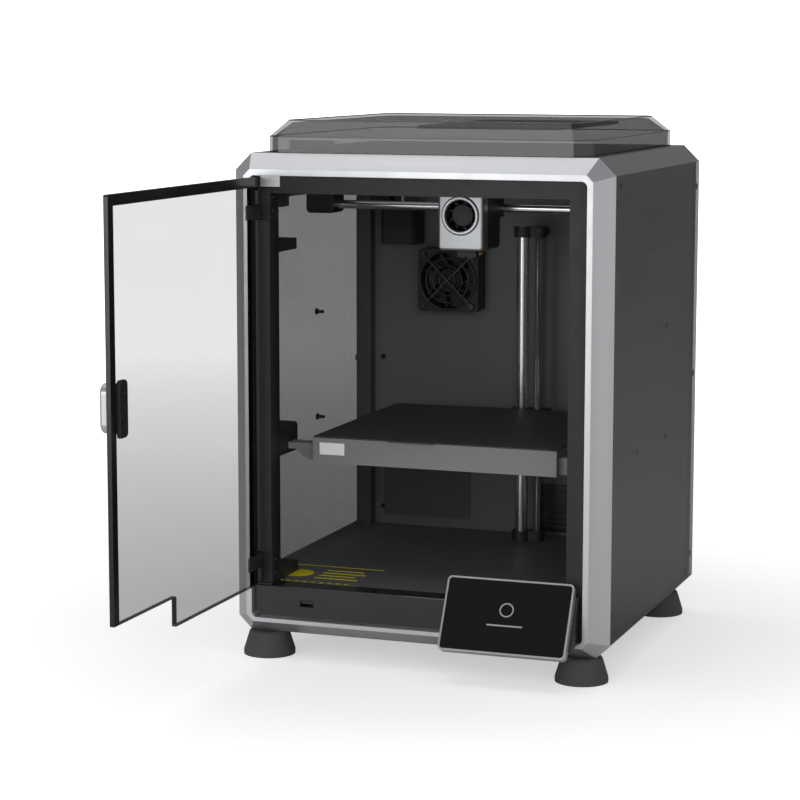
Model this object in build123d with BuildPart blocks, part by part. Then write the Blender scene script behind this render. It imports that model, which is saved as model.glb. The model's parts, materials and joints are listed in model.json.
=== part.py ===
"""Enclosed CoreXY desktop 3-D printer, drawn with its glass door standing open.

Millimetres, +Z up, +X to the right, the front faces -Y.
The origin is on the table top, in the middle of the four feet.
"""
from build123d import *
import math
import os

# ---------------------------------------------------------------- casing
BODY_HALF_W = 174.0
BODY_FRONT = -164.0
BODY_REAR = 164.0
BODY_BOTTOM = 22.3
BODY_TOP = 453.4
TOP_CHAMFER = 15.1
BOTTOM_CHAMFER = 12.3
BEVEL_DEPTH = 18.5
BEVEL_BACK = BODY_FRONT + BEVEL_DEPTH
STRIP_HALF_W = 159.0
STRIP_BOTTOM = 34.2
STRIP_TOP = 439.8
STRIP_CORNER = 6.0
OPENING_HALF_W = 153.8
OPENING_BOTTOM = 37.8
OPENING_TOP = 434.2
OPENING_RADIUS = 5.0
PANEL_T = 3.0
WALL = 5.0
SIDE_BOTTOM = BODY_BOTTOM + BOTTOM_CHAMFER
SIDE_TOP = BODY_TOP - TOP_CHAMFER
LID_OPENING_HALF_W = 135.0
LID_OPENING_FRONT = -124.0
LID_OPENING_REAR = 146.0

# black frame behind the silver ring, which the door closes against
LINER_FRONT = -157.0
LINER_REAR = -136.0
LINER_HALF_W = 137.0
LINER_TOP = 418.5
LINER_BOTTOM = 67.0

FLOOR_TOP = 65.0
FLOOR_T = 1.5
REAR_POST = (156.0, 147.0)
FRONT_MOUNT_Y = -135.5

# ---------------------------------------------------------------- feet
FOOT_X = 147.0
FOOT_Y = 139.0
FOOT_BASE_R = 23.4
FOOT_TOP_R = 18.2
FOOT_RIM = 4.0

# ---------------------------------------------------------------- door
DOOR_AXIS = (-149.5, -159.5)
DOOR_W = 291.0
DOOR_GAP = 4.5
DOOR_T = 4.0
DOOR_BOTTOM = 68.0
DOOR_TOP = 432.8
NOTCH_W = 114.0
NOTCH_TOP = 93.0
HINGE_PIN_R = 2.0
HINGE_FIT = 0.05
HINGE_H = 28.0
HANDLE_H = 40.0
HANDLE_Z = 264.5
HANDLE_W = 16.0

# ---------------------------------------------------------------- display
DISPLAY_LEFT = 33.3
DISPLAY_RIGHT = 147.4
DISPLAY_TOP = (-165.0, 90.6)
DISPLAY_BOTTOM = (-196.0, 31.6)
DISPLAY_T = 8.0

# ---------------------------------------------------------------- lid
LID_HALF_W = 149.1
LID_FRONT = -140.9
LID_REAR = 162.3
LID_SHOULDER = 467.3
LID_TOP = 482.0
LID_TOP_HALF_W = 133.9
LID_TOP_FRONT = -123.8
LID_TOP_REAR = 138.3
LID_WALL = 2.5

# ---------------------------------------------------------------- gantry
ROD_R = 4.0
RUN_FIT = 0.05
X_ROD_Z = (400.0, 414.0)
Y_ROD_X = 150.0
Y_ROD_Z = 415.0
CARRIAGE_IN = 132.5
CARRIAGE_OUT = 160.0
CARRIAGE_HALF_D = 15.0
CARRIAGE_BOTTOM = 392.0
CARRIAGE_TOP = 422.5
PULLEY_R = 6.5
BELT_T = 1.2
BELT_W = 6.0
BELT_Z = (426.5, 434.5)
IDLER_X = 143.5
IDLER_FRONT_Y = -126.0
IDLER_REAR_Y = 150.5
MOTOR_X = 119.8
MOTOR_Y = 142.8
MOTOR_SIZE = 35.2
MOTOR_TOP = 389.0
MOTOR_H = 36.0
SHAFT_R = 2.5

# ---------------------------------------------------------------- print head
HEAD_X = 6.3
HEAD_HALF_W = 21.5
HEAD_FRONT = -57.0
HEAD_SPLIT = -42.0
HEAD_REAR = 6.0
HEAD_BOTTOM = 364.0
HEAD_TOP = 417.4
HEAD_RING_Z = 395.7
HEAD_RING_R = 17.8
HEAD_BORE_R = 14.0
HEAD_HUB_R = 10.3
NOZZLE_Y = -10.0
NOZZLE_Z = 352.0

# ---------------------------------------------------------------- bed
BED_TOP = 197.0
BED_HALF_W = 114.8
BED_HALF_D = 112.6
BED_H = 24.0
PLATE_T = 1.2
HEATER_T = 4.0
SCREW_R = 4.0
SIDE_SCREW = (150.0, -121.0)
SIDE_ROD = (160.0, -92.0)
REAR_SCREW = (26.0, 128.0)
REAR_ROD = (10.7, 125.0)
REAR_ROD_R = 6.0
Z_TOP = 374.0
Z_PULLEY_R = 9.0
Z_PULLEY_Z = 50.0
Z_MOTOR = (70.0, 96.0)

# ---------------------------------------------------------------- chamber fan
FAN_X = -70.5
FAN_Z = 318.0
FAN_SIZE = 62.0
FAN_FRONT = 137.0
FAN_BORE_R = 28.0
FAN_HUB_R = 12.0

made = {}


def keep(name, builder):
    """Label a finished piece and remember it under its node name."""
    builder.part.label = name
    made[name] = builder.part


def octagon(half_w, bottom, top, low_cut, high_cut):
    """Casing section in the XZ plane: a rectangle with cut corners."""
    Polyline(
        (-half_w, bottom + low_cut),
        (-half_w + low_cut, bottom),
        (half_w - low_cut, bottom),
        (half_w, bottom + low_cut),
        (half_w, top - high_cut),
        (half_w - high_cut, top),
        (-half_w + high_cut, top),
        (-half_w, top - high_cut),
        close=True,
    )


def front_plane(y):
    """A sketch plane whose x is +X and whose y is +Z, facing the front."""
    return Plane(origin=(0, y, 0), x_dir=(1, 0, 0), z_dir=(0, -1, 0))


def block(x0, x1, y0, y1, z0, z1, mode=Mode.ADD):
    """A box between two corners."""
    with Locations(((x0 + x1) / 2, (y0 + y1) / 2, (z0 + z1) / 2)):
        Box(x1 - x0, y1 - y0, z1 - z0, mode=mode)


def post(x, y, z0, z1, radius, mode=Mode.ADD):
    """An upright cylinder."""
    with Locations((x, y, (z0 + z1) / 2)):
        Cylinder(radius, z1 - z0, mode=mode)


def rod_y(x, z, y0, y1, radius, mode=Mode.ADD):
    """A cylinder along Y."""
    with Locations(Location((x, (y0 + y1) / 2, z), (90, 0, 0))):
        Cylinder(radius, y1 - y0, mode=mode)


def rod_x(y, z, x0, x1, radius, mode=Mode.ADD):
    """A cylinder along X."""
    with Locations(Location(((x0 + x1) / 2, y, z), (0, 90, 0))):
        Cylinder(radius, x1 - x0, mode=mode)


def cut_rect(x0, x1, y0, y1, cut):
    """A rectangle in the XY plane with its four corners cut at 45 degrees."""
    Polyline(
        (x0 + cut, y0),
        (x1 - cut, y0),
        (x1, y0 + cut),
        (x1, y1 - cut),
        (x1 - cut, y1),
        (x0 + cut, y1),
        (x0, y1 - cut),
        (x0, y0 + cut),
        close=True,
    )


# ================================================================ casing
TAB_LEFT = -145.5
TAB_RIGHT = -127.0
TAB_BOTTOM = 424.2
TAB_FRONT = -157.2
TAB_REAR = -150.0

with BuildPart() as front_bezel:
    with BuildSketch(front_plane(BEVEL_BACK)):
        with BuildLine():
            octagon(BODY_HALF_W, BODY_BOTTOM, BODY_TOP, BOTTOM_CHAMFER, TOP_CHAMFER)
        make_face()
    with BuildSketch(front_plane(BODY_FRONT)):
        with BuildLine():
            octagon(STRIP_HALF_W, STRIP_BOTTOM, STRIP_TOP, STRIP_CORNER, STRIP_CORNER)
        make_face()
    loft()
    with BuildSketch(front_plane(BODY_FRONT)):
        with Locations((0, (OPENING_BOTTOM + OPENING_TOP) / 2)):
            RectangleRounded(2 * OPENING_HALF_W, OPENING_TOP - OPENING_BOTTOM, OPENING_RADIUS)
    extrude(amount=-BEVEL_DEPTH, mode=Mode.SUBTRACT)
    block(TAB_LEFT, TAB_RIGHT, TAB_FRONT, TAB_REAR, TAB_BOTTOM, OPENING_TOP + 1)
keep("front_bezel", front_bezel)

# screws of one side panel as (y, z), the same on both sides
PANEL_SCREWS = (
    (-140.5, 414.5), (-127.8, 429.4), (141.2, 429.4), (154.5, 414.5),
    (44.5, 292.7), (153.8, 235.2), (45.7, 189.8), (-60.7, 190.7),
    (153.8, 58.2), (135.8, 43.9), (-141.0, 59.7), (-131.8, 43.9),
)
SCREW_HEAD_R = 3.0
SCREW_HEAD_H = 1.6
SCREW_SHANK_R = 1.5
SCREW_LENGTH = 8.0
SCREW_GAP = 0.1


def side_screw_holes(side):
    """Clearance holes for one side's panel screws, cut from whatever they pass through."""
    for y, z in PANEL_SCREWS:
        inner = BODY_HALF_W - SCREW_LENGTH - 0.5
        x0, x1 = sorted((side * inner, side * (BODY_HALF_W + 1)))
        rod_x(y, z, x0, x1, SCREW_SHANK_R + SCREW_GAP, mode=Mode.SUBTRACT)


LINER_FIT = 0.2
LINER_FLANGE_HALF_W = 170.8
HINGE_BLOCK_X = (-149.0, -137.0)
HINGE_BLOCK_Z = (395.0, 69.0)

with BuildPart() as front_liner:
    with BuildSketch(front_plane(LINER_REAR)):
        with Locations((0, (LINER_BOTTOM + OPENING_TOP - LINER_FIT) / 2)):
            RectangleRounded(
                2 * (OPENING_HALF_W - LINER_FIT), OPENING_TOP - LINER_FIT - LINER_BOTTOM,
                OPENING_RADIUS,
            )
    extrude(amount=LINER_REAR - LINER_FRONT)
    block(
        -LINER_FLANGE_HALF_W, LINER_FLANGE_HALF_W,
        BEVEL_BACK, LINER_REAR,
        SIDE_BOTTOM + 1, SIDE_TOP - 1,
    )
    block(
        -LINER_HALF_W, LINER_HALF_W,
        LINER_FRONT - 1, LINER_REAR + 1,
        LINER_BOTTOM, LINER_TOP,
        mode=Mode.SUBTRACT,
    )
    block(
        -LINER_HALF_W, LINER_HALF_W,
        LINER_FRONT - 1, LINER_REAR + 1,
        SIDE_BOTTOM, LINER_BOTTOM + 1,
        mode=Mode.SUBTRACT,
    )

    block(
        TAB_LEFT - 0.2, TAB_RIGHT + 0.2, LINER_FRONT - 1, TAB_REAR + 0.2,
        TAB_BOTTOM - 0.2, OPENING_TOP,
        mode=Mode.SUBTRACT,
    )

    # pockets that take the hinge blocks
    for z in HINGE_BLOCK_Z:
        block(
            -OPENING_HALF_W, -LINER_HALF_W + 1,
            LINER_FRONT - 1, LINER_REAR - 2,
            z - 0.2, z + HINGE_H + 0.2,
            mode=Mode.SUBTRACT,
        )
    for side in (-1, 1):
        side_screw_holes(side)
keep("front_liner", front_liner)

with BuildPart() as top_frame:
    with BuildSketch(front_plane(BEVEL_BACK)):
        with BuildLine():
            octagon(BODY_HALF_W, BODY_BOTTOM, BODY_TOP, BOTTOM_CHAMFER, TOP_CHAMFER)
        make_face()
    extrude(amount=BEVEL_BACK - BODY_REAR)
    with BuildSketch(front_plane(BEVEL_BACK)):
        with BuildLine():
            octagon(
                BODY_HALF_W - WALL, BODY_BOTTOM + WALL, BODY_TOP - WALL,
                BOTTOM_CHAMFER - WALL * 0.586, TOP_CHAMFER - WALL * 0.586,
            )
        make_face()
    extrude(amount=BEVEL_BACK - BODY_REAR + WALL, mode=Mode.SUBTRACT)
    block(
        -LID_OPENING_HALF_W, LID_OPENING_HALF_W,
        LID_OPENING_FRONT, LID_OPENING_REAR,
        SIDE_TOP, BODY_TOP + 1,
        mode=Mode.SUBTRACT,
    )
    block(-BODY_HALF_W, BODY_HALF_W, BEVEL_BACK, BODY_REAR, SIDE_TOP, BODY_TOP, mode=Mode.INTERSECT)
keep("top_frame", top_frame)


def side_panel(side):
    """One clear side panel, with countersunk screw holes."""
    outer = side * BODY_HALF_W
    inner = side * (BODY_HALF_W - PANEL_T)
    x0, x1 = sorted((outer, inner))
    with BuildPart() as panel:
        block(x0, x1, BEVEL_BACK, BODY_REAR, SIDE_BOTTOM, SIDE_TOP)
        side_screw_holes(side)
        for y, z in PANEL_SCREWS:
            s0, s1 = sorted((outer - side * (SCREW_HEAD_H + SCREW_GAP), outer + side))
            rod_x(y, z, s0, s1, SCREW_HEAD_R + SCREW_GAP, mode=Mode.SUBTRACT)
    return panel


left_panel = side_panel(-1)
keep("left_panel", left_panel)
right_panel = side_panel(1)
keep("right_panel", right_panel)

with BuildPart() as panel_screws:
    for side in (-1, 1):
        outer = side * BODY_HALF_W
        for y, z in PANEL_SCREWS:
            h0, h1 = sorted((outer, outer - side * SCREW_HEAD_H))
            rod_x(y, z, h0, h1, SCREW_HEAD_R)
            s0, s1 = sorted((outer, outer - side * SCREW_LENGTH))
            rod_x(y, z, s0, s1, SCREW_SHANK_R)
            with BuildSketch(Plane(origin=(outer, y, z), z_dir=(side, 0, 0))):
                RegularPolygon(1.3, 6)
            extrude(amount=-1.0, mode=Mode.SUBTRACT)
keep("panel_screws", panel_screws)

with BuildPart() as rear_posts:
    for side in (-1, 1):
        x0, x1 = sorted((side * REAR_POST[0], side * (BODY_HALF_W - PANEL_T)))
        block(x0, x1, REAR_POST[1], BODY_REAR - PANEL_T, SIDE_BOTTOM, SIDE_TOP)
        side_screw_holes(side)
keep("rear_posts", rear_posts)

with BuildPart() as bottom_pan:
    with BuildSketch(front_plane(BEVEL_BACK)):
        with BuildLine():
            octagon(BODY_HALF_W, BODY_BOTTOM, BODY_TOP, BOTTOM_CHAMFER, TOP_CHAMFER)
        make_face()
    extrude(amount=BEVEL_BACK - BODY_REAR)
    with BuildSketch(front_plane(BEVEL_BACK + PANEL_T)):
        with BuildLine():
            octagon(
                BODY_HALF_W - PANEL_T, BODY_BOTTOM + PANEL_T, BODY_TOP - PANEL_T,
                BOTTOM_CHAMFER - PANEL_T * 0.586, TOP_CHAMFER - PANEL_T * 0.586,
            )
        make_face()
    extrude(amount=BEVEL_BACK - BODY_REAR + 2 * PANEL_T, mode=Mode.SUBTRACT)
    block(
        -BODY_HALF_W, BODY_HALF_W, BEVEL_BACK, BODY_REAR, BODY_BOTTOM, SIDE_BOTTOM,
        mode=Mode.INTERSECT,
    )
    with BuildSketch(Plane.XY.offset(BODY_BOTTOM)):
        with GridLocations(12, 60, 14, 3):
            SlotOverall(44, 4, rotation=90)
    extrude(amount=PANEL_T, mode=Mode.SUBTRACT)
keep("bottom_pan", bottom_pan)

# rear panel: fan grille, filament inlet, spool-holder holes and the mains recess
GRILLE_PITCH = 7.0
GRILLE_SLOT = 3.4
SPOOL_X = 95.0
SPOOL_Z = 330.0
SPOOL_SPACING = 40.0
SPOOL_HOLE_R = 2.0
FILAMENT_X = 100.0
FILAMENT_Z = 404.0
FILAMENT_R = 3.2
INLET_X = 118.0
INLET_Z = 50.0
INLET_W = 27.0
INLET_H = 19.8
SWITCH_X = 82.0
SWITCH_W = 19.0
SWITCH_H = 13.0
REAR_INNER = BODY_REAR - PANEL_T

with BuildPart() as rear_panel:
    block(
        -BODY_HALF_W + PANEL_T, BODY_HALF_W - PANEL_T, REAR_INNER, BODY_REAR,
        SIDE_BOTTOM, SIDE_TOP,
    )
    with BuildSketch(front_plane(BODY_REAR)):
        with Locations((FAN_X, FAN_Z)):
            Circle(FAN_BORE_R - 1)
            with GridLocations(0, GRILLE_PITCH, 1, 8):
                Rectangle(2 * FAN_BORE_R, GRILLE_PITCH - GRILLE_SLOT, mode=Mode.SUBTRACT)
    extrude(amount=PANEL_T, mode=Mode.SUBTRACT)
    with BuildSketch(front_plane(BODY_REAR)):
        with Locations((SPOOL_X, SPOOL_Z)):
            with GridLocations(SPOOL_SPACING, SPOOL_SPACING, 2, 2):
                Circle(SPOOL_HOLE_R)
        with Locations((FILAMENT_X, FILAMENT_Z)):
            Circle(FILAMENT_R)
        with Locations(((SWITCH_X - SWITCH_W / 2 + INLET_X + INLET_W / 2) / 2, INLET_Z)):
            Rectangle(INLET_X - SWITCH_X + (SWITCH_W + INLET_W) / 2 + 0.2, INLET_H + 0.2)
        with Locations((-100, 110)):
            with GridLocations(10, 0, 9, 1):
                SlotOverall(60, 4, rotation=90)
    extrude(amount=PANEL_T, mode=Mode.SUBTRACT)
keep("rear_panel", rear_panel)

FLOOR_HALF_W = 168.0
FLOOR_LIP = 5.0
FLOOR_HOLE_GAP = 0.6

with BuildPart() as floor_plate:
    block(
        -FLOOR_HALF_W, FLOOR_HALF_W, LINER_REAR, REAR_INNER - 0.2,
        FLOOR_TOP - FLOOR_T, FLOOR_TOP,
    )
    for side in (-1, 1):
        x0, x1 = sorted((side * FLOOR_HALF_W, side * (FLOOR_HALF_W - FLOOR_T)))
        block(x0, x1, LINER_REAR, REAR_POST[1] - 1, FLOOR_TOP, FLOOR_TOP + FLOOR_LIP)
        p0, p1 = sorted((side * (REAR_POST[0] - 0.3), side * (FLOOR_HALF_W + 1)))
        block(
            p0, p1, REAR_POST[1] - 0.5, REAR_INNER + 1, FLOOR_TOP - 3, FLOOR_TOP + 3,
            mode=Mode.SUBTRACT,
        )
        post(
            side * SIDE_SCREW[0], SIDE_SCREW[1], FLOOR_TOP - 3, FLOOR_TOP + 3,
            SCREW_R + FLOOR_HOLE_GAP, mode=Mode.SUBTRACT,
        )
    post(
        *REAR_SCREW, FLOOR_TOP - 3, FLOOR_TOP + 3,
        SCREW_R + FLOOR_HOLE_GAP, mode=Mode.SUBTRACT,
    )
keep("floor_plate", floor_plate)

# dark panel under the door, which carries the USB socket
LOWER_PANEL_FRONT = -158.0
USB_X = -103.0
USB_Z = 52.0
USB_W = 14.0
USB_H = 6.6
USB_DEPTH = 13.0

with BuildPart() as lower_front_panel:
    block(
        -OPENING_HALF_W + LINER_FIT, OPENING_HALF_W - LINER_FIT,
        LOWER_PANEL_FRONT, LOWER_PANEL_FRONT + PANEL_T,
        OPENING_BOTTOM + LINER_FIT, LINER_BOTTOM - 0.1,
    )
    fillet(lower_front_panel.edges().filter_by(Axis.Y).group_by(Axis.Z)[0], OPENING_RADIUS)
    block(
        -LINER_HALF_W + LINER_FIT, LINER_HALF_W - LINER_FIT,
        LOWER_PANEL_FRONT, LINER_REAR - LINER_FIT,
        LINER_BOTTOM - 1.6, LINER_BOTTOM - 0.1,
    )
    chamfer(
        lower_front_panel.edges().filter_by(Axis.X).group_by(Axis.Y)[0].sort_by(Axis.Z)[-1],
        0.8,
    )
    block(
        USB_X - USB_W / 2 - 0.1, USB_X + USB_W / 2 + 0.1,
        LOWER_PANEL_FRONT - 1, LOWER_PANEL_FRONT + PANEL_T + 1,
        USB_Z - USB_H / 2 - 0.1, USB_Z + USB_H / 2 + 0.1,
        mode=Mode.SUBTRACT,
    )
keep("lower_front_panel", lower_front_panel)

with BuildPart() as usb_port:
    block(
        USB_X - USB_W / 2, USB_X + USB_W / 2,
        LOWER_PANEL_FRONT, LOWER_PANEL_FRONT + USB_DEPTH,
        USB_Z - USB_H / 2, USB_Z + USB_H / 2,
    )
    block(
        USB_X - USB_W / 2 + 0.6, USB_X + USB_W / 2 - 0.6,
        LOWER_PANEL_FRONT - 1, LOWER_PANEL_FRONT + USB_DEPTH - 1,
        USB_Z - USB_H / 2 + 0.6, USB_Z + USB_H / 2 - 0.6,
        mode=Mode.SUBTRACT,
    )
    block(
        USB_X - USB_W / 2 + 1.4, USB_X + USB_W / 2 - 1.4,
        LOWER_PANEL_FRONT + 1, LOWER_PANEL_FRONT + USB_DEPTH,
        USB_Z + 0.4, USB_Z + 2.0,
    )
keep("usb_port", usb_port)

# ================================================================ feet
with BuildPart() as feet:
    with BuildSketch(Plane.XZ):
        with BuildLine():
            Polyline(
                (0, 0),
                (FOOT_BASE_R, 0),
                (FOOT_BASE_R, FOOT_RIM),
                (FOOT_TOP_R, BODY_BOTTOM - 1.5),
                (FOOT_TOP_R - 1.5, BODY_BOTTOM),
                (0, BODY_BOTTOM),
                close=True,
            )
        make_face()
    revolve(axis=Axis.Z)
one_foot = feet.part
with BuildPart() as feet:
    with GridLocations(2 * FOOT_X, 2 * FOOT_Y, 2, 2):
        add(one_foot)
keep("feet", feet)

# ================================================================ door
axis_x, axis_y = DOOR_AXIS
free_y = axis_y - DOOR_W
glass_near = axis_y - DOOR_GAP
outer_x = axis_x - DOOR_T / 2
inner_x = axis_x + DOOR_T / 2
handle_mid_y = free_y + 17.0

with BuildPart() as door_glass:
    block(outer_x, inner_x, free_y, glass_near, DOOR_BOTTOM, DOOR_TOP)
    block(
        outer_x - 1, inner_x + 1, free_y - 1, free_y + NOTCH_W, DOOR_BOTTOM - 1, NOTCH_TOP,
        mode=Mode.SUBTRACT,
    )
    fillet(door_glass.edges().filter_by(Axis.X), 2.0)
    for dz in (-12.5, 12.5):
        rod_x(handle_mid_y, HANDLE_Z + dz, outer_x - 1, inner_x + 1, 2.0, mode=Mode.SUBTRACT)
keep("door_glass", door_glass)

# outside grip: a rounded capsule with a finger groove all round
GRIP_DEPTH = 11.0
GRIP_GROOVE = 2.2

with BuildPart() as door_handle:
    with BuildSketch(Plane(origin=(outer_x, handle_mid_y, HANDLE_Z), x_dir=(0, 0, 1), z_dir=(-1, 0, 0))):
        SlotOverall(HANDLE_H, HANDLE_W)
    extrude(amount=GRIP_DEPTH)
    fillet(door_handle.faces().sort_by(Axis.X)[0].edges(), 2.5)
    rim_centre = (outer_x - 4.5, handle_mid_y, HANDLE_Z)
    with BuildSketch(Plane(origin=rim_centre, x_dir=(0, 0, 1), z_dir=(-1, 0, 0))):
        SlotOverall(HANDLE_H + 4, HANDLE_W + 4)
        SlotOverall(HANDLE_H - 2 * GRIP_GROOVE, HANDLE_W - 2 * GRIP_GROOVE, mode=Mode.SUBTRACT)
    extrude(amount=-GRIP_GROOVE, mode=Mode.SUBTRACT)
keep("door_handle", door_handle)

# inside plate and the two screws that clamp the glass between it and the grip
HANDLE_PLATE_T = 3.0

with BuildPart() as handle_plate:
    with BuildSketch(Plane(origin=(inner_x, handle_mid_y, HANDLE_Z), x_dir=(0, 0, 1), z_dir=(1, 0, 0))):
        RectangleRounded(46, 15, 4)
    extrude(amount=HANDLE_PLATE_T)
    chamfer(handle_plate.faces().sort_by(Axis.X)[-1].edges(), 0.8)
    for dz in (-12.5, 12.5):
        rod_x(
            handle_mid_y, HANDLE_Z + dz, inner_x - 1, inner_x + HANDLE_PLATE_T + 1, 2.0,
            mode=Mode.SUBTRACT,
        )
    for dz in (-12.5, 12.5):
        rod_x(handle_mid_y, HANDLE_Z + dz, outer_x, inner_x + HANDLE_PLATE_T, 1.9)
        rod_x(
            handle_mid_y, HANDLE_Z + dz,
            inner_x + HANDLE_PLATE_T, inner_x + HANDLE_PLATE_T + 1.8, 3.2,
        )
keep("handle_plate", handle_plate)

# hinges: a block on the frame with a bored lug, a leaf on the glass with the pin
LUG_R = 4.2
LEAF_LENGTH = 26.0
LEAF_T = 1.5
PIN_LENGTH = 14.0

HINGE_FRONT = -155.2
LUG_H = 12.0
KNUCKLE_H = 12.6
TOP_LUG_Z = HINGE_BLOCK_Z[0] + 14.0
TOP_KNUCKLE_Z = TOP_LUG_Z - 0.3 - KNUCKLE_H
LOW_LUG_Z = HINGE_BLOCK_Z[1] + 2.0
LOW_KNUCKLE_Z = LOW_LUG_Z + LUG_H + 0.3
HINGE_BOLT_R = 2.6

with BuildPart() as hinge_blocks:
    for z, lug_z in zip(HINGE_BLOCK_Z, (TOP_LUG_Z, LOW_LUG_Z)):
        block(*HINGE_BLOCK_X, HINGE_FRONT, LINER_REAR - 2.2, z, z + HINGE_H)
        post(axis_x, axis_y, lug_z, lug_z + LUG_H, LUG_R)
        block(axis_x - 1, axis_x + LUG_R, axis_y, HINGE_FRONT, lug_z, lug_z + LUG_H)
        post(
            axis_x, axis_y, lug_z - 1, lug_z + LUG_H + 1, HINGE_PIN_R + HINGE_FIT,
            mode=Mode.SUBTRACT,
        )
        for dz in (9.0, 19.0):
            rod_x(
                -146.0, z + dz, HINGE_BLOCK_X[1] - 1.5, HINGE_BLOCK_X[1] + 1, HINGE_BOLT_R,
                mode=Mode.SUBTRACT,
            )
keep("hinge_blocks", hinge_blocks)

with BuildPart() as hinge_leaves:
    for knuckle_z, pin_z in (
        (TOP_KNUCKLE_Z, TOP_LUG_Z + LUG_H - PIN_LENGTH),
        (LOW_KNUCKLE_Z, LOW_LUG_Z),
    ):
        post(axis_x, axis_y, knuckle_z, knuckle_z + KNUCKLE_H, LUG_R)
        block(
            inner_x, inner_x + LEAF_T, axis_y - LEAF_LENGTH, axis_y - 1.5,
            knuckle_z, knuckle_z + KNUCKLE_H,
        )
        post(axis_x, axis_y, pin_z, pin_z + PIN_LENGTH, HINGE_PIN_R)
keep("hinge_leaves", hinge_leaves)

# ================================================================ display
slant_y = DISPLAY_BOTTOM[0] - DISPLAY_TOP[0]
slant_z = DISPLAY_BOTTOM[1] - DISPLAY_TOP[1]
slant = math.hypot(slant_y, slant_z)
down = (slant_y / slant, slant_z / slant)
facing = (down[1], -down[0])
display_w = DISPLAY_RIGHT - DISPLAY_LEFT
display_mid_x = (DISPLAY_LEFT + DISPLAY_RIGHT) / 2


def slanted(depth):
    """Plane parallel to the screen, this far behind its face, centred on it."""
    mid_y = (DISPLAY_TOP[0] + DISPLAY_BOTTOM[0]) / 2 - facing[0] * depth
    mid_z = (DISPLAY_TOP[1] + DISPLAY_BOTTOM[1]) / 2 - facing[1] * depth
    return Plane(
        origin=(display_mid_x, mid_y, mid_z), x_dir=(1, 0, 0), z_dir=(0, facing[0], facing[1]),
    )


GLASS_T = 1.2
BEZEL_W = 1.6

with BuildPart() as display_housing:
    with BuildSketch(slanted(0)):
        RectangleRounded(display_w, slant, 4)
    extrude(amount=-DISPLAY_T)
    with BuildSketch(slanted(0)):
        RectangleRounded(display_w - 2 * BEZEL_W, slant - 2 * BEZEL_W, 3)
    extrude(amount=-GLASS_T, mode=Mode.SUBTRACT)
keep("display_housing", display_housing)

with BuildPart() as display_glass:
    with BuildSketch(slanted(GLASS_T)):
        RectangleRounded(display_w - 2 * BEZEL_W - 0.2, slant - 2 * BEZEL_W - 0.2, 2.9)
    extrude(amount=GLASS_T - 0.2)
keep("display_glass", display_glass)


def behind_display(s):
    """Point (y, z) on the back of the display, s below its top edge."""
    return (
        DISPLAY_TOP[0] - facing[0] * DISPLAY_T + down[0] * s,
        DISPLAY_TOP[1] - facing[1] * DISPLAY_T + down[1] * s,
    )


BRACKET_LEFT = 60.0
BRACKET_RIGHT = 150.0
BRACKET_BACK = LOWER_PANEL_FRONT - 0.1
bracket_high = behind_display(9)
bracket_low = behind_display(58)

with BuildPart() as display_bracket:
    with BuildSketch(Plane(origin=(BRACKET_LEFT, 0, 0), x_dir=(0, 1, 0), z_dir=(1, 0, 0))):
        with BuildLine():
            Polyline(
                bracket_high,
                bracket_low,
                (BODY_FRONT - 0.2, OPENING_BOTTOM + 1),
                (BRACKET_BACK, OPENING_BOTTOM + 1),
                (BRACKET_BACK, bracket_high[1] - 4),
                close=True,
            )
        make_face()
    extrude(amount=BRACKET_RIGHT - BRACKET_LEFT)
    with BuildSketch(Plane(origin=(BRACKET_RIGHT, 0, 0), x_dir=(0, 1, 0), z_dir=(1, 0, 0))):
        with Locations((-167.0, 50.5), (-167.0, 43.5)):
            Circle(2.2)
        with Locations((-161.5, 66.0)):
            SlotOverall(16, 2.4, rotation=90)
    extrude(amount=-3.0, mode=Mode.SUBTRACT)
keep("display_bracket", display_bracket)

# ================================================================ mains and electronics
INLET_DEPTH = 22.0

ROCKER_R = 1.5
ROCKER_FIT = 0.05
rocker_y = BODY_REAR - 4.0
MODULE_LEFT = SWITCH_X - SWITCH_W / 2
MODULE_RIGHT = INLET_X + INLET_W / 2

# one moulded unit: the mains socket, and the well that the rocker turns in
with BuildPart() as power_inlet:
    block(
        MODULE_LEFT, MODULE_RIGHT, BODY_REAR - INLET_DEPTH, BODY_REAR,
        INLET_Z - INLET_H / 2, INLET_Z + INLET_H / 2,
    )
    block(
        INLET_X - 12, INLET_X + 12, BODY_REAR - 16, BODY_REAR + 1, INLET_Z - 8, INLET_Z + 8,
        mode=Mode.SUBTRACT,
    )
    for dx, dz in ((-7.0, -2.0), (0.0, 2.0), (7.0, -2.0)):
        block(
            INLET_X + dx - 1, INLET_X + dx + 1, BODY_REAR - 17, BODY_REAR - 6,
            INLET_Z + dz - 2, INLET_Z + dz + 2,
        )
    block(
        SWITCH_X - SWITCH_W / 2 + 1.5, SWITCH_X + SWITCH_W / 2 - 1.5,
        BODY_REAR - 14, BODY_REAR + 1,
        INLET_Z - SWITCH_H / 2 + 1.5, INLET_Z + SWITCH_H / 2 - 1.5,
        mode=Mode.SUBTRACT,
    )
    with Locations((SWITCH_X, rocker_y, INLET_Z)):
        Cylinder(ROCKER_R, SWITCH_H - 1)
keep("power_inlet", power_inlet)

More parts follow.
